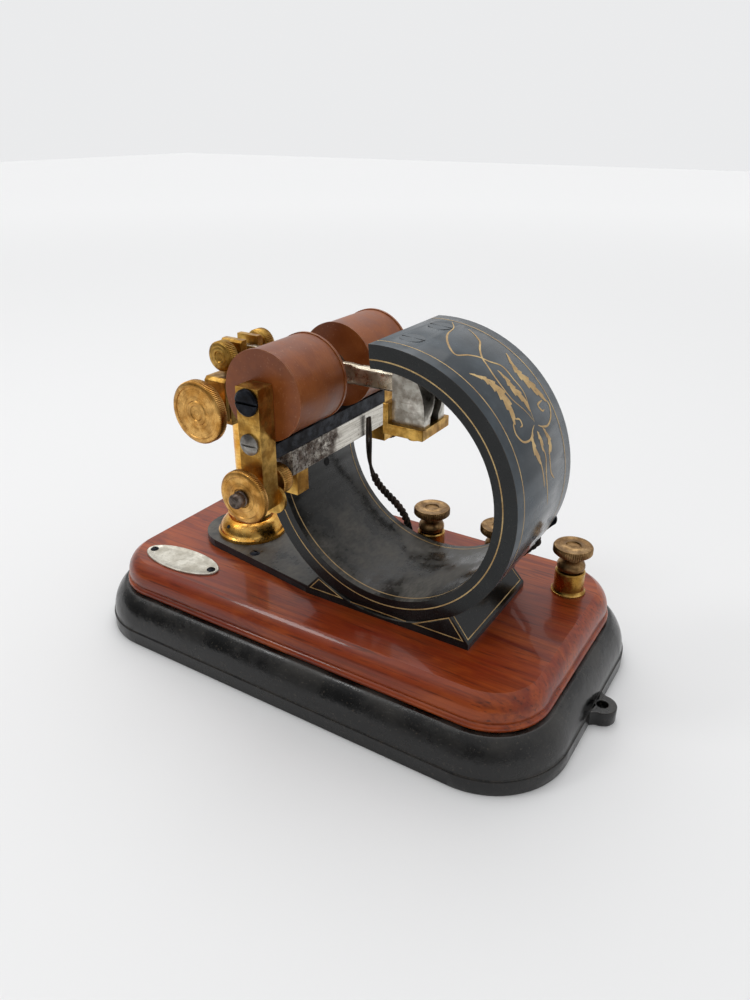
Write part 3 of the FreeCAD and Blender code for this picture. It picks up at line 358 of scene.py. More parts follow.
def mahogany(shared):
    """Polished red mahogany with its grain along the base, and old marks in the polish."""
    material, bench, shader = new_finish("mahogany")
    place = bench.place()
    age = bench.use(shared["age"], Patch_size=22.0, Edge_reach=0.001)
    sway = bench.noise(bench.stretched(place, (6, 20, 20)), 1.0, 3.0)
    bent = bench.vector("ADD", bench.stretched(place, (3, 60, 60)), bench.math("MULTIPLY", sway, 3.2))
    growth = bench.noise(bent, 1.6, 5.0, 0.62)
    streaks = bench.noise(bench.stretched(place, (9, 420, 420)), 1.3, 4.0, 0.6)
    pores = bench.noise(bench.stretched(place, (45, 900, 900)), 1.0, 2.0)
    pore_lines = bench.levels(pores, 0.58, 0.72)
    colour = bench.blend(bench.levels(growth, 0.32, 0.66), "6c240a", "ab5019")
    colour = bench.blend(bench.math("MULTIPLY", age["Patches"], 0.55), colour, "7c200a")
    colour = bench.blend(bench.math("MULTIPLY", bench.levels(streaks, 0.42, 0.72), 0.55), colour, "4f1a08")
    colour = bench.blend(bench.math("MULTIPLY", pore_lines, 0.6), colour, "2c0e06")
    colour = bench.blend(bench.math("MULTIPLY", age["Edges"], 0.45), colour, "b96a3c")
    colour = bench.blend(bench.math("MULTIPLY", age["Scratches"], 0.35), colour, "4a1c10")
    bench.join(colour, shader.inputs["Base Color"])
    bench.join(bench.levels(growth, 0.3, 0.7, 0.3, 0.42), shader.inputs["Roughness"])
    height = bench.math("ADD", bench.math("MULTIPLY", pore_lines, -0.6), bench.math("MULTIPLY", streaks, 0.4))
    bench.join(bench.bump(height, 0.08, 0.0003), shader.inputs["Normal"])
    shader.inputs["Coat Weight"].default_value = 0.35
    shader.inputs["Coat Roughness"].default_value = 0.05
    shader.inputs["Specular IOR Level"].default_value = 0.25
    return material


def black_enamel(shared):
    """Gloss black enamel, with grey dust lying inside the ring and a painted blue-grey sheen on its outside.
    """
    material, bench, shader = new_finish("black enamel")
    age = bench.use(shared["age"], Patch_size=38.0, Edge_reach=0.0007)
    colour = bench.blend(age["Patches"], "0c0e0e", "181b1b")
    colour = bench.blend(bench.math("MULTIPLY", age["Specks"], 0.3), colour, "4b4a44")
    colour = bench.blend(bench.math("MULTIPLY", age["Scratches"], 0.3), colour, "55534c")
    offset = bench.vector("SUBTRACT", bench.place(), (RING_X * MM, 0, RING_Z * MM))
    inward = bench.vector("DOT_PRODUCT", offset, bench.lay("NewGeometry").outputs["Normal"])
    inside = bench.levels(inward, -0.02, -0.045)
    dust = bench.math("MULTIPLY", inside, bench.levels(age["Lying"], 0.05, 0.8, 0.12, 0.8))
    fibres = bench.noise(bench.stretched(bench.place(), (1, 0.4, 1)), 700.0, 4.0, 0.7)
    dust = bench.math("MULTIPLY", dust, bench.levels(fibres, 0.3, 0.65, 0.45, 1))
    colour = bench.blend(dust, colour, "6f6c66")
    # The outer face is lightened to blue-grey in patches: a painted sheen standing in for the bright room it
    # reflects.
    outside = bench.levels(inward, 0.03, 0.05)
    painted_sheen = bench.math("MULTIPLY", outside, bench.levels(age["Patches"], 0, 1, 0.35, 0.6))
    colour = bench.blend(painted_sheen, colour, "59636b")
    colour = bench.blend(bench.math("MULTIPLY", age["Edges"], 0.45), colour, "5a4d3c")
    bench.join(colour, shader.inputs["Base Color"])
    rough = bench.levels(age["Patches"], 0, 1, 0.16, 0.28)
    bench.join(bench.blend_value(dust, rough, 0.75), shader.inputs["Roughness"])
    height = bench.math("ADD", bench.noise(bench.place(), 320.0, 3.0), bench.math("MULTIPLY", fibres, dust))
    bench.join(bench.bump(height, 0.1, 0.0003), shader.inputs["Normal"])
    shader.inputs["Specular IOR Level"].default_value = 0.32
    return material


def gold_line(shared):
    """Thin gold lining, rubbed through here and there."""
    material, bench, shader = new_finish("gold lining")
    age = bench.use(shared["age"], Patch_size=140.0, Edge_reach=0.0004)
    colour = bench.blend(age["Patches"], "a88652", "cdb07a")
    colour = bench.blend(bench.math("MULTIPLY", age["Specks"], 0.6), colour, "5f4a2a")
    bench.join(colour, shader.inputs["Base Color"])
    bench.join(bench.levels(age["Patches"], 0, 1, 0.45, 0.6), shader.inputs["Roughness"])
    shader.inputs["Metallic"].default_value = 0.1
    return material


def metal(shared, name, dull, bright, stain, rough, staining=0.4, centre=None, axis=(0, 1, 0),
          rings=1500.0):
    """A bare metal with its tarnish; lathe marks where a centre is given."""
    material, bench, shader = new_finish(name)
    age = bench.use(shared["age"], Patch_size=120.0, Edge_reach=0.0005)
    place = bench.place()
    cloud = bench.levels(bench.noise(place, 260.0, 5.0, 0.65), 0.36, 0.66)
    colour = bench.blend(bench.levels(age["Patches"], 0, 1), dull, bright)
    colour = bench.blend(bench.math("MULTIPLY", cloud, staining), colour, stain)
    colour = bench.blend(bench.math("MULTIPLY", age["Specks"], staining), colour, stain)
    colour = bench.blend(bench.math("MULTIPLY", age["Edges"], 0.6), colour, bright)
    roughness = bench.levels(cloud, 0, 1, rough, rough + 0.2)
    if centre:
        marks = bench.use(shared["turning"], Centre=centre, Axis=axis, Rings=rings)["Mark"]
        colour = bench.blend(bench.levels(marks, 0.5, 0.75, 0, 0.35), colour, stain)
        height = bench.math("ADD", bench.math("MULTIPLY", marks, 0.8), age["Scratches"])
    else:
        marks = bench.use(shared["brushing"])["Line"]
        colour = bench.blend(bench.levels(marks, 0.5, 0.8, 0, 0.25), colour, stain)
        height = bench.math("ADD", bench.math("MULTIPLY", marks, 0.35), age["Scratches"])
    bench.join(colour, shader.inputs["Base Color"])
    bench.join(roughness, shader.inputs["Roughness"])
    bench.join(bench.bump(height, 0.25, 0.00012), shader.inputs["Normal"])
    shader.inputs["Metallic"].default_value = 1
    return material


def yoke_iron(shared):
    """Ground iron, bright at the back and speckled brown with rust in front."""
    material, bench, shader = new_finish("rusted iron")
    age = bench.use(shared["age"], Patch_size=90.0, Edge_reach=0.0006)
    place = bench.place()
    along = bench.split(place)[1]
    ragged = bench.math("ADD", along, bench.levels(bench.noise(place, 120.0, 4.0), 0.3, 0.7, -0.004, 0.004))
    front = bench.levels(ragged, 0.002, -0.007)
    fine = bench.levels(bench.noise(place, 620.0, 5.0, 0.75), 0.42, 0.62)
    coarse = bench.levels(bench.noise(place, 170.0, 5.0, 0.7), 0.36, 0.6)
    rust = bench.math("MULTIPLY", front, bench.math("MAXIMUM", fine, coarse))
    lines = bench.use(shared["brushing"], Stretch=(1, 0.05, 1))["Line"]
    colour = bench.blend(bench.levels(lines, 0.35, 0.7), "b9b4a9", "dcd8cf")
    colour = bench.blend(bench.math("MULTIPLY", age["Specks"], 0.7), colour, "5a4a3c")
    colour = bench.blend(rust, colour, bench.blend(fine, "6d5f54", "37271e"))
    colour = bench.blend(bench.math("MULTIPLY", age["Edges"], 0.5), colour, "d6d2c8")
    bench.join(colour, shader.inputs["Base Color"])
    bench.join(bench.levels(rust, 0, 1, 0.34, 0.7), shader.inputs["Roughness"])
    bench.join(bench.levels(rust, 0, 1, 1, 0.25), shader.inputs["Metallic"])
    height = bench.math("ADD", bench.math("MULTIPLY", rust, 0.8), bench.math("MULTIPLY", lines, 0.15))
    bench.join(bench.bump(height, 0.5, 0.0003), shader.inputs["Normal"])
    return material


def coil_wrap(shared):
    """Smooth brown varnished wrapping, paler at its rims."""
    material, bench, shader = new_finish("coil wrapping")
    age = bench.use(shared["age"], Patch_size=55.0, Edge_reach=0.0008)
    place = bench.place()
    colour = bench.blend(age["Patches"], "783a13", "94501f")
    turns = bench.noise(bench.stretched(place, (0.02, 1, 0.02)), 2600.0, 1.0)
    colour = bench.blend(bench.levels(turns, 0.45, 0.8, 0, 0.3), colour, "5a2f18")
    colour = bench.blend(bench.math("MULTIPLY", age["Specks"], 0.25), colour, "b98560")
    # The rims are lightened to pale brown along the edge mask.
    colour = bench.blend(bench.math("MULTIPLY", age["Edges"], 0.7), colour, "b07a4d")
    colour = bench.blend(bench.math("MULTIPLY", age["Scratches"], 0.3), colour, "a5714c")
    bench.join(colour, shader.inputs["Base Color"])
    bench.join(bench.levels(age["Patches"], 0, 1, 0.36, 0.5), shader.inputs["Roughness"])
    height = bench.math("ADD", bench.math("MULTIPLY", turns, 0.5), bench.noise(place, 420.0, 3.0))
    bench.join(bench.bump(height, 0.12, 0.0003), shader.inputs["Normal"])
    shader.inputs["Coat Weight"].default_value = 0.2
    shader.inputs["Coat Roughness"].default_value = 0.28
    shader.inputs["Specular IOR Level"].default_value = 0.3
    return material


def cotton(shared):
    """Dark cotton covering of the wires."""
    material, bench, shader = new_finish("cotton covering")
    age = bench.use(shared["age"], Patch_size=260.0, Edge_reach=0.0003)
    threads = bench.noise(bench.place(), 1800.0, 2.0)
    colour = bench.blend(age["Patches"], "1d1713", "3a2c22")
    colour = bench.blend(bench.levels(threads, 0.5, 0.7, 0, 0.4), colour, "5a4a3a")
    bench.join(colour, shader.inputs["Base Color"])
    bench.join(bench.levels(threads, 0.3, 0.7, 0.7, 0.9), shader.inputs["Roughness"])
    bench.join(bench.bump(threads, 0.5, 0.0002), shader.inputs["Normal"])
    return material


def fibre(shared):
    """Dark red pressed fibre."""
    material, bench, shader = new_finish("fibre")
    age = bench.use(shared["age"], Patch_size=90.0, Edge_reach=0.0005)
    colour = bench.blend(age["Patches"], "3a1712", "52231a")
    colour = bench.blend(bench.math("MULTIPLY", age["Edges"], 0.5), colour, "7a4434")
    bench.join(colour, shader.inputs["Base Color"])
    bench.join(bench.levels(age["Patches"], 0, 1, 0.5, 0.65), shader.inputs["Roughness"])
    bench.join(bench.bump(bench.noise(bench.place(), 600.0, 3.0), 0.2, 0.0002), shader.inputs["Normal"])
    return material


def painted_hole_shade(shared):
    """Painted shade that stands for the shaded inside of a small hole."""
    material, bench, shader = new_finish("painted hole shade")
    depth = bench.noise(bench.place(), 500.0, 2.0)
    bench.join(bench.blend(depth, "020202", "0a0908"), shader.inputs["Base Color"])
    bench.join(bench.levels(depth, 0, 1, 0.7, 0.9), shader.inputs["Roughness"])
    return material


# Shapes

def new_piece(name, verts, faces, material, slot, body, smooth=True):
    """A mesh piece, given in millimetres, that rides on a body."""
    mesh = bpy.data.meshes.new(name)
    mesh.from_pydata([Vector(vert) * MM for vert in verts], [], faces)
    mesh.materials.append(material)
    mesh.polygons.foreach_set("use_smooth", [smooth] * len(mesh.polygons))
    if smooth:
        mesh.set_sharp_from_angle(angle=math.radians(40))
    piece = bpy.data.objects.new(name, mesh)
    bpy.context.scene.collection.objects.link(piece)
    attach(piece, body)
    return piece


def band_faces(start, rows, steps):
    """Faces between neighbouring closed rows of vertices."""
    faces = []
    for row in range(rows - 1):
        near, far = start + row * steps, start + (row + 1) * steps
        for step in range(steps):
            after = (step + 1) % steps
            faces.append((near + step, near + after, far + after, far + step))
    return faces


def turned_piece(name, centre, axis, profile, teeth, material, slot, body, *nodes):
    """A turned piece: (radius, reach, knurl depth) points along an axis; teeth are cut where it is deep."""
    along = Vector(axis)
    first = Vector((1, 0, 0)) if abs(along.x) < 0.5 else Vector((0, 1, 0))
    second = along.cross(first)
    steps = teeth * 4 if teeth else 64
    tooth = (0, 1, 1, 0.35)
    verts = []
    for radius, reach, depth in profile:
        for step in range(steps):
            angle = 2 * math.pi * step / steps
            here = radius - depth * (1 - tooth[step % 4]) if teeth else radius
            verts.append(Vector(centre) + along * reach
                         + (first * math.cos(angle) + second * math.sin(angle)) * here)
    faces = band_faces(0, len(profile), steps)
    for row, way in ((0, -1), (len(profile) - 1, 1)):
        ring = [row * steps + step for step in range(steps)]
        middle = len(verts)
        verts.append(Vector(centre) + along * profile[row][1])
        for step in range(steps):
            pair = (ring[step], ring[(step + 1) % steps])
            faces.append((*pair[::way], middle))
    piece = new_piece(name, verts, faces, material, slot, body)
    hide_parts(*nodes)


def ring_point(angle, across, radius):
    """A point on the ring, from its angle in degrees and its distance from the ring's middle plane."""
    turn = math.radians(angle)
    return Vector((RING_X + radius * math.cos(turn), RING_Y + across, RING_Z + radius * math.sin(turn)))


def smooth_path(points, pieces=6):
    """A curve through points of any size, as a list of finer points."""
    ends = [points[0], *points, points[-1]]
    fine = []
    for before, start, end, after in zip(ends, ends[1:], ends[2:], ends[3:]):
        for step in range(pieces):
            t = step / pieces
            fine.append(tuple(
                0.5 * (2 * b + (c - a) * t + (2 * a - 5 * b + 4 * c - d) * t ** 2
                       + (3 * b - a - 3 * c + d) * t ** 3)
                for a, b, c, d in zip(before, start, end, after)))
    fine.append(tuple(points[-1]))
    return fine


def flat_stroke(points, half_width, lobes=0):
    """A stroke of the painter's brush: the two sides of a line, plain and tapered or cut into leaf lobes.

    Points are (angle, distance across), so the width is worked out in millimetres and turned back.
    """
    arc = math.radians(RING_OUTSIDE)
    fine = [(angle * arc, across) for angle, across in smooth_path(points, 14 if lobes else 6)]
    sides = []
    count = len(fine)
    for index, point in enumerate(fine):
        before, after = fine[max(index - 1, 0)], fine[min(index + 1, count - 1)]
        along = Vector((after[0] - before[0], after[1] - before[1]))
        across = Vector((-along.y, along.x)).normalized()
        share = index / (count - 1)
        if lobes:
            swell = math.sin(math.pi * min(1, share * 0.98 + 0.02) ** 1.35) ** 0.8 + 0.06
            saw = [(share * lobes + shift) % 1 for shift in (0, 0.45)]
            reach = [half_width * swell * (0.5 + 0.5 * bite) for bite in saw]
        else:
            reach = [half_width * min(1, 4 * share + 0.25, 3 * (1 - share) + 0.15)] * 2
        pair = (Vector(point) + across * reach[0], Vector(point) - across * reach[1])
        sides.append([(side.x / arc, side.y) for side in pair])
    return sides


def strip(sides, lift):
    """Vertices and faces of a strip whose pairs of side points are lifted on to a surface."""
    verts = [lift(point) for pair in sides for point in pair]
    faces = [(2 * row, 2 * row + 1, 2 * row + 3, 2 * row + 2) for row in range(len(sides) - 1)]
    return verts, faces


def join_shapes(shapes):
    verts, faces = [], []
    for more_verts, more_faces in shapes:
        start = len(verts)
        verts += more_verts
        faces += [tuple(start + corner for corner in face) for face in more_faces]
    return verts, faces


# Gold lining

def ring_lines(finish):
    """Lining on the ring's front face, bore and outside."""
    span = [95 - 285 * step / 150 for step in range(151)]
    face_front = RING_Y - RING_HALF_WIDTH - PROUD

    def line(angles, middle, lift):
        return strip([((angle, middle - LINE_WIDTH), (angle, middle + LINE_WIDTH)) for angle in angles], lift)

    def on_face(point):
        turn = math.radians(point[0])
        return Vector((RING_X + point[1] * math.cos(turn), face_front, RING_Z + point[1] * math.sin(turn)))

    def on_bore(point):
        return ring_point(*point, RING_BORE - PROUD)

    def on_outside(point):
        return ring_point(*point, RING_OUTSIDE + PROUD)

    shapes = [line(span, 53, on_face)]
    for across in (-24.6, 24.6):
        shapes.append(line([angle for angle in span if angle < 93], across, on_bore))
    for across in (-21.5, 21.5):
        shapes.append(line([angle for angle in span if angle > -46], across, on_outside))
        shapes.append(line([angle for angle in span if angle < -142], across, on_outside))
    new_piece("gold_lines", *join_shapes(shapes), finish, "brass", "base", smooth=False)


def scroll_work(finish):
    """Traditional leaf scrolls painted on the ring's outside, with the middle left bare."""
    wide = [
        ([(58.4, -15.8), (54.6, -11.5), (51.9, -9.9), (48, -8.7), (43.6, -9), (39.1, -10.2), (34, -12.6)],
         3.1, 6),
        ([(58.4, 17), (52.2, 13.1), (48.6, 12.6), (44.1, 13.8), (39.6, 15.7), (34, 18.6)], 2.9, 6),
        ([(54.1, 1.2), (49.4, 1.5), (44.9, 0.9), (40.5, 2.6), (34.5, 2.8)], 2.4, 5),
        ([(28.4, -2.2), (24.8, -5.1), (20.2, -5), (15.2, -2.6)], 1.9, 3),
        ([(27, 6.4), (22.6, 8.5), (19.2, 8.4), (16, 5.8)], 1.9, 3),
        ([(27.1, 1.1), (24, 1.6), (18.9, 1.3)], 1.5, 2),
    ]
    thin = [
        [(35, -12.2), (33.9, -14.1), (30.8, -15), (27.1, -12.1), (26.2, -6), (28.7, -1.5), (29.6, 0.9)],
        [(35.6, -10.4), (34.7, -7.8), (32.4, -7.9), (32.2, -10)],
        [(35, 18.4), (32.2, 19.5), (28.2, 16.7), (26.2, 11.6), (27.2, 6.6), (28.7, 3.6)],
        [(35.4, 15.6), (34.9, 10.7), (32.1, 11.8), (32, 14)],
        [(84.7, 19.5), (80.8, 13.1), (79.1, 4.8), (75.7, -2.4), (71.1, -8.2), (67.6, -9.9), (65.3, -4.6),
         (62.2, -0.4), (58.7, 2), (54.5, 6.2), (48, 5.9), (41.9, 6.1), (35.9, 3.4), (30.5, 1.9)],
        [(76.5, 17.5), (73, 15.5), (69.9, 13.1), (67.9, 11.1), (65.1, 5.5), (61.4, 0.6), (57.3, -1.9),
         (51.4, -4.4), (42.9, -4.9), (36, -0.7), (31.1, 1.8)],
        [(16.2, -3), (10.3, -2.1), (5.6, -1.8)],
        [(17, 6.4), (9.9, 5.4), (5.4, 9)],
        [(20.9, 1.3), (16.6, 2.4), (9.2, 0.7), (-3.7, 3.3)],
    ]
    sides = [flat_stroke(points, half, lobes) for points, half, lobes in wide]
    sides += [flat_stroke(points, 0.42) for points in thin]
    shapes = [strip(pairs, lambda point: ring_point(*point, RING_OUTSIDE + PROUD)) for pairs in sides]
    new_piece("gold_scrolls", *join_shapes(shapes), finish, "brass", "base", smooth=False)


def face_frame(corners, inset, width):
    """A thin closed line inside a flat face with the given corners, lifted a little off it."""
    corners = [Vector(corner) for corner in corners]
    normal = (corners[1] - corners[0]).cross(corners[2] - corners[0]).normalized()
    loops = []
    for reach in (inset, inset + width):
        loop = []
        count = len(corners)
        for index, corner in enumerate(corners):
            before = (corner - corners[index - 1]).normalized()
            after = (corners[(index + 1) % count] - corner).normalized()
            inward = (after - before).normalized()
            half_turn = before.angle(after) / 2
            loop.append(corner + inward * (reach / math.cos(half_turn)) + normal * PROUD)
        loops.append(loop)
    verts = loops[0] + loops[1]
    count = len(corners)
    faces = [(index, (index + 1) % count, count + (index + 1) % count, count + index)
             for index in range(count)]
    return verts, faces


def foot_frames(finish):
    """Lining round the flat faces of the ring's foot."""
    low, high = WOOD_TOP + 2.5, WOOD_TOP + 15.5
    left, right = FOOT_X - FOOT_HALF_LOW, FOOT_X + FOOT_HALF_LOW
    top_left, top_right = FOOT_X - FOOT_HALF_TOP, FOOT_X + FOOT_HALF_TOP
    wide = 28.9
    front, back = RING_Y - wide, RING_Y + wide
    top_front, top_back = RING_Y - RING_HALF_WIDTH, RING_Y + RING_HALF_WIDTH

    def bevel_point(share, edge_x, top_x, edge_y, top_y):
        ends = ((edge_x, top_x), (edge_y, top_y), (low, high))
        return tuple(start + (end - start) * share for start, end in ends)

    panels = (
        ((right, front, low), (right, back, low), (top_right, top_back, high), (top_right, top_front, high)),
        ((left, back, low), (left, front, low), (top_left, top_front, high), (top_left, top_back, high)))
    shapes = [face_frame(corners, 1.5, FRAME_WIDTH) for corners in panels]
    for edge_y, top_y, turned_round in ((front, top_front, False), (back, top_back, True)):
        for edge_x, top_x, share, ring_side in (
                (left, top_left, 0.62, 18.2), (right, top_right, 0.84, 43.8)):
            corners = [
                (edge_x, edge_y, low), (ring_side, edge_y, low),
                bevel_point(share, edge_x, top_x, edge_y, top_y)]
            if (edge_x > ring_side) != turned_round:
                corners.reverse()
            shapes.append(face_frame(corners, 1.0, FRAME_WIDTH))
    under_ring = [(17 + 1.4 * step, low + 1.0) for step in range(21)]
    shapes.append(strip(
        [((x, z - 0.2), (x, z + 0.25)) for x, z in under_ring],
        lambda point: Vector((point[0], front + 0.06 if abs(point[0] - RING_X) > 13.5 else front, point[1]))))
    new_piece("foot_lines", *join_shapes(shapes), finish, "brass", "base", smooth=False)


def dark_hole(name, centre, facing, radius, finish, body):
    """A small hole, drawn as a flat disc of painted shade."""
    facing = Vector(facing).normalized()
    first = facing.orthogonal().normalized()
    second = facing.cross(first)
    rim = []
    for step in range(24):
        turn = 2 * math.pi * step / 24
        rim.append(Vector(centre) + (first * math.cos(turn) + second * math.sin(turn)) * radius)
    new_piece(name, rim, [tuple(range(24))], finish, "dark_steel", body, smooth=False)


def bore_spots(finish):
    """Two holes in the ring's bore, drawn as flat discs of painted shade."""
    shapes = []
    hole, hole_angle = 2.1, 191.6
    for across in (4.3, -12.1):
        rim = []
        for step in range(24):
            turn = 2 * math.pi * step / 24
            reach_angle = math.degrees(hole * math.cos(turn) / RING_BORE)
            rim.append(ring_point(hole_angle + reach_angle, across + hole * math.sin(turn),
                                  RING_BORE - PROUD))
        shapes.append((rim, [tuple(range(24))]))
    new_piece("bore_holes", *join_shapes(shapes), finish, "dark_steel", "base", smooth=False)


# Thumb wheels and heads

def wheel(name, start, axis, hub, hub_length, radius, rim, teeth, material, slot, body, node, dish=0.5):
    """A knurled thumb wheel with a stepped face, from its hub's free end."""
    face = hub_length + rim
    knurl = 0.32
    profile = [
        (hub, 0, 0), (hub, hub_length - 0.4, 0), (hub + 0.5, hub_length, 0), (radius - 1.4, hub_length, 0),
        (radius - 1.3, hub_length + 0.05, 0), (radius - 0.2, hub_length + 0.7, knurl * 0.5),
        (radius, hub_length + 0.95, knurl), (radius, face - 0.95, knurl),
        (radius - 0.2, face - 0.7, knurl * 0.5), (radius - 1.2, face, 0), (radius - 2.4, face, 0),
        (radius - 2.7, face - dish, 0),
        (hub + 1.2, face - dish, 0), (hub + 0.7, face - 0.05, 0), (hub - 0.9, face, 0),
        (hub - 1.3, face - 0.35, 0), (0.4, face - 0.35, 0)]
    turned_piece(name, start, axis, profile, teeth, material, slot, body, node)


def place_wheels(shared):
    """The bias and adjusting wheels, the contact heads, the collar and the binding-post heads."""
    front, rear = (0, -1, 0), (0, 1, 0)
    bright = ("c08a42", "e6b468", "6b4318")
    bias = metal(shared, "bias wheel brass", *bright, 0.26, 0.35, (CONTACT_X * MM, 0, BIAS_Z * MM))
    wheel("bias_thumb_wheel", (CONTACT_X, -24.85, BIAS_Z), front, 4.5, 7.85, 14.3, 5.2, 104, bias, "brass",
          "bias_adjuster", "bias_wheel")
    adjust = metal(shared, "adjusting wheel brass", *bright, 0.28, 0.4, (COIL_X * MM, 0, ADJUST_Z * MM))
    wheel("adjusting_wheel", (COIL_X, -55.6, ADJUST_Z), front, 5, 3.2, 11.4, 4, 86, adjust, "brass",
          "adjuster", "adjust_wheel", 0.3)
    heads = metal(shared, "contact head brass", "9a7230", "cfa455", "563915", 0.3, 0.5,
                  (CONTACT_X * MM, 0, CONTACT_Z * MM))
    for name, way, axis in (("front", -1, front), ("rear", 1, rear)):
        wheel(f"contact_knob_{name}", (CONTACT_X, RING_Y + 7.8 * way, CONTACT_Z), axis, 3.6, 2.1, 6.8, 6, 48,
              heads, "brass", f"{name}_contact_knob", f"contact_head_{name}", 0.4)
    low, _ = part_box("adjust_collar")
    collar = [(2.6, 0, 0), (6.3, 0, 0), (6.7, 0.4, 0.3), (6.7, 5.5, 0.3), (6.3, 5.9, 0), (2.6, 6, 0)]
    turned_piece("knurled_collar", (COIL_X, low.y / MM, ADJUST_Z), rear, collar, 44, adjust, "brass",
                 "adjuster", "adjust_collar")
    _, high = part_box("adjust_stub")
    stub = [(3.4, 0, 0), (3.4, 0.6, 0), (3.05, 0.9, 0), (3.05, 3.9, 0), (2.4, 4.7, 0), (1.9, 4.95, 0),
            (0.9, 4.6, 0), (0.2, 4.5, 0)]
    stub_finish = metal(shared, "worn stub steel", "4b3f38", "8b7f76", "241b17", 0.32, 0.4,
                        (COIL_X * MM, 0, ADJUST_Z * MM))
    turned_piece("screw_end", (COIL_X, high.y / MM, ADJUST_Z), front, stub, 0, stub_finish, "dark_steel",
                 "adjuster", "adjust_stub")
    for number in range(3):
        x = 21.7 + 35.5 * number
        old = metal(shared, f"post head brass {number + 1}", "8a6a44", "bd9a6c", "43301c", 0.34, 0.55,
                    (x * MM, 0.032, 0), (0, 0, 1), 1300.0)
        low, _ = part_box(f"clamp_head_{number + 1}")
        profile = [
            (5.2, 0, 0), (5.9, 0.5, 0), (6.3, 1.6, 0), (6.25, 2.8, 0), (5.7, 4, 0), (4.4, 4.9, 0),
            (3.8, 5.3, 0), (3.8, 7.4, 0), (4.3, 7.85, 0), (7.4, 7.9, 0), (8.3, 8.6, 0.15),
            (8.8, 9.1, 0.34), (8.8, 11.4, 0.34), (8.3, 12.1, 0.1), (7.2, 12.2, 0), (6.4, 11.95, 0),
            (4, 11.95, 0), (3.5, 12.15, 0), (3.1, 11.5, 0), (0.3, 11.4, 0)]
        turned_piece(f"post_head_{number + 1}", (x, 32, low.z / MM), (0, 0, 1), profile, 56, old,
                     "worn_brass", f"terminal_{number + 1}_knob", f"clamp_head_{number + 1}")


def place_disc(material):
    """The pressed disc behind the rear post."""
    low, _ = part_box("rear_disc")
    profile = [(9.4, 0, 0), (10, 0.5, 0), (10, 2.5, 0), (9.4, 3, 0), (3.2, 3, 0), (3, 2.6, 0), (0.3, 2.6, 0)]
    turned_piece("rear_post_disc", (-14.2, low.y / MM, 93.4), (0, 1, 0), profile, 0, material, "fibre",
                 "electromagnet", "rear_disc")


def place_plate(material):
    """The blank oval plate, with a raised border."""
    low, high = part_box("name_plate")
    centre = (low + high) / 2 / MM
    half_long, half_wide = (high.x - low.x) / 2 / MM, (high.y - low.y) / 2 / MM
    steps = 96
    verts = []
    rows = ((0, 0), (0, 0.7), (0.3, 0.98), (1.1, 1), (1.35, 0.86), (4, 0.86))
    for inset, height in rows:
        for step in range(steps):
            turn = 2 * math.pi * step / steps
            verts.append((centre.x + (half_long - inset) * math.cos(turn),
                          centre.y + (half_wide - inset) * math.sin(turn), low.z / MM + height))
    faces = band_faces(0, len(rows), steps)
    last = (len(rows) - 1) * steps
    faces.append(tuple(last + step for step in range(steps)))
    faces.append(tuple(reversed(range(steps))))
    piece = new_piece("blank_plate", verts, faces, material, "nickel_plate", "base")
    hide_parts("name_plate")


def place_tongue(material):
    """The polished armature bar: a rounded bar beside the cheeks that thins to a flat tongue."""
    low, high = 128.3, 137.2
    middle, half_high = (high + low) / 2, (high - low) / 2
    # Place along the bar, half its thickness, share of its height and whether it is rounded
    stations = [
        (-61.8, 1.5, 0.82, False), (-59.5, 1.5, 1, False), (0.5, 1.5, 1, False), (2.2, 2.3, 0.96, True),
        (4, 2.75, 0.97, True), (25.5, 2.75, 0.97, True), (27.5, 2.3, 0.93, True), (33.9, 1.5, 0.92, False)]
    steps = 48
    verts = []
    for x, half_thick, share, rounded in stations:
        for step in range(steps):
            turn = 2 * math.pi * (step + 0.5) / steps
            power = 2 / (2.4 if rounded else 9)
            across = math.copysign(abs(math.cos(turn)) ** power, math.cos(turn)) * half_thick
            upward = math.copysign(abs(math.sin(turn)) ** (2 / 5), math.sin(turn)) * half_high * share
            verts.append((x, RING_Y + across, middle + upward))
    faces = band_faces(0, len(stations), steps)
    faces.append(tuple(reversed(range(steps))))
    faces.append(tuple((len(stations) - 1) * steps + step for step in range(steps)))
    piece = new_piece("armature_bar", verts, faces, material, "bright_steel", "armature")
    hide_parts("armature_tongue")


# Wires

def route_points(name, route):
    """Points along a smooth spline with the route as its control points."""
    data = bpy.data.curves.new(name + " route", "CURVE")
    data.dimensions = "3D"
    spline = data.splines.new("NURBS")
    spline.points.add(len(route) - 1)
    for point, corner in zip(spline.points, route):
        point.co = (*[amount * MM for amount in corner], 1)
    spline.order_u = 3
    spline.use_endpoint_u = True
    spline.resolution_u = 10
    guide = bpy.data.objects.new(name + " route", data)
    mesh = bpy.data.meshes.new_from_object(guide)
    points = [vert.co.copy() for vert in mesh.vertices]
    bpy.data.objects.remove(guide)
    return points


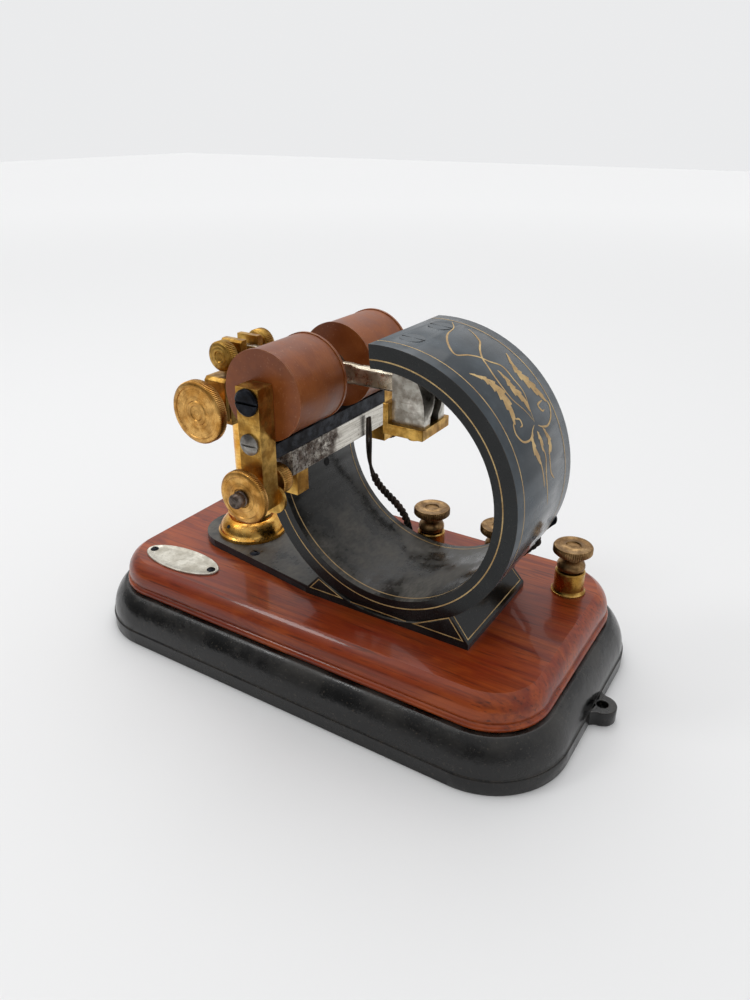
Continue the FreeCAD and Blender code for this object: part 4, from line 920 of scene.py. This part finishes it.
def strands(name, route, offset, thickness, turns, count, material, node):
    """Wires laid side by side or twisted round a route, in one piece."""
    points = route_points(name, route)
    verts, faces = [], []
    sides = 8
    travelled = 0
    total = sum((b - a).length for a, b in zip(points, points[1:]))
    across = Vector((0, 1, 0))
    rings = []
    for index, point in enumerate(points):
        before, after = points[max(index - 1, 0)], points[min(index + 1, len(points) - 1)]
        along = (after - before).normalized()
        across = (across - along * across.dot(along)).normalized()
        other = along.cross(across)
        if index:
            travelled += (point - points[index - 1]).length
        rings.append((point, across.copy(), other, travelled / total))
    for strand in range(count):
        base = len(verts)
        for point, across, other, share in rings:
            angle = 2 * math.pi * (strand / count + turns * share)
            centre = point + (across * math.cos(angle) + other * math.sin(angle)) * offset * MM
            for side in range(sides):
                turn = 2 * math.pi * side / sides
                verts.append((centre + (across * math.cos(turn) + other * math.sin(turn))
                              * thickness * MM) / MM)
        faces += band_faces(base, len(rings), sides)
        faces.append(tuple(base + side for side in reversed(range(sides))))
        faces.append(tuple(base + (len(rings) - 1) * sides + side for side in range(sides)))
    piece = new_piece(name, verts, faces, material, "cloth_wire", "base")
    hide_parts(node)


def run_wires(finish):
    """The coil leads, the laced bundle and the earth wire, along the routes that hold them."""
    y = CABLE_Y
    strands("lead_pair", [
        (-7.3, 20.2, 104), (-7.2, 20.2, 98), (-7.4, 20.6, 90), (-8, 21.8, 82), (-8, 23.6, 76),
        (-7.6, y + 0.2, 71.6)], 0.75, 0.75, 0.5, 2, finish, "coil_leads")
    strands("laced_leads", [
        (-7.6, y + 0.4, 72.6), (-6.9, y + 0.3, 70.2), (-3.6, y + 0.5, 66.6), (0.8, y + 0.3, 63.4),
        (5.4, y + 0.7, 59.9), (10.2, y + 0.5, 55), (12.6, y + 0.9, 47.5), (12.9, y + 1.4, 41),
        (13, y + 1.6, WOOD_TOP + 0.3)], 0.95, 0.95, 6, 3, finish, "laced_bundle")
    strands("earth_lead", [
        (77.6, y + 0.2, 64), (79.4, y + 1, 60.8), (75.7, y + 1.3, 56.2), (71.2, y + 1.3, 51.6),
        (67.3, y + 1.2, 46.5), (66.5, y + 0.8, 41), (66.4, y + 0.8, WOOD_TOP + 0.3)], 0.75, 0.75, 5, 2,
        finish, "earth_wire")


# Finishes of the construction's own nodes

def dress_nodes(shared):
    """Gives every carried-over node its finish, and eases the edges of the nodes listed in eased."""
    brass = metal(shared, "brass", "a97c35", "d9ae5c", "62421a", 0.28, 0.4)
    steel = metal(shared, "bright steel", "a8a59c", "d8d5cc", "6a5a4a", 0.28, 0.35)
    finishes = {
        japanned_iron(shared): ["iron_base"],
        mahogany(shared): ["wood_base"],
        black_enamel(shared): ["magnet_ring", "magnet_foot", "pole_screws"],
        brass: ["slide_bed", "carriage", "bias_screw", "contact_screw_front", "contact_screw_rear",
                "end_post_front", "end_post_rear", "guide_block", "post_boss", "pivot_strap", "pivot_screw",
                "upper_bearing"],
        metal(shared, "pillar brass", "dc9a3a", "ffcc70", "8a5f28", 0.14, 0.06, (-0.062, -0.0045, 0),
              (0, 0, 1), 900.0): ["pillar", "pillar_foot"],
        metal(shared, "post brass", "a87e3a", "d8b065", "5a3f1a", 0.24, 0.4): [
            "terminal_bodies", "clamp_screw_1", "clamp_screw_2", "clamp_screw_3"],
        steel: ["cheek_front", "cheek_rear", "armature_arbor", "core_front", "core_rear",
                "contact_pin", "adjust_screw"],
        metal(shared, "worn screw steel", "6e6a66", "a5a29c", "3a342e", 0.34, 0.4): ["post_screws"],
        metal(shared, "dark steel", "1d1f24", "33363c", "15100c", 0.34, 0.5): [
            "slide_bar", "core_screws", "adjust_stub", "strap_screws", "foot_screws", "base_screws",
            "magnet_bolts", "name_plate_screws", "earth_screw", "earth_lug"],
        yoke_iron(shared): ["yoke_bar"],
        coil_wrap(shared): ["winding_front", "winding_rear", "bobbin_front", "bobbin_rear"],
    }
    for material, names in finishes.items():
        for name in names:
            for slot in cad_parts[name].material_slots:
                slot.material = material
    eased = {"wood_base": 0.3, "iron_base": 0.5, "magnet_ring": 0.35, "magnet_foot": 0.3, "yoke_bar": 0.3,
             "end_post_front": 0.4, "end_post_rear": 0.4, "carriage": 0.4, "slide_bed": 0.4,
             "cheek_front": 0.3, "cheek_rear": 0.3, "pivot_strap": 0.35,
             "slide_bar": 0.25, "guide_block": 0.3, "earth_lug": 0.2}
    for name, width in eased.items():
        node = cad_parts[name]
        node.modifiers.new("weld", "WELD").merge_threshold = 1e-6
        ease = node.modifiers.new("eased edges", "BEVEL")
        ease.width = width * MM
        ease.segments = 2
        ease.limit_method = "ANGLE"
        ease.angle_limit = math.radians(35)
        ease.harden_normals = True


shared = {"age": make_age(), "turning": make_turning(), "brushing": make_brushing()}
set_camera()
set_light()
lay_floor()
dress_nodes(shared)
gold = gold_line(shared)
ring_lines(gold)
scroll_work(gold)
foot_frames(gold)
# The holes are flat discs of painted shade.
recess = painted_hole_shade(shared)
bore_spots(recess)
dark_hole("dome_hole", (-65.3, -18.6, 47.2), (-0.17, -0.73, 0.66), 1.0, recess, "base")
place_disc(fibre(shared))
place_plate(metal(shared, "nickel silver", "bdb8ab", "dad6ca", "8a8578", 0.38, 0.35))
place_tongue(metal(shared, "armature steel", "a59a86", "d6ccb8", "6f6253", 0.24, 0.12))
place_wheels(shared)
run_wires(cotton(shared))
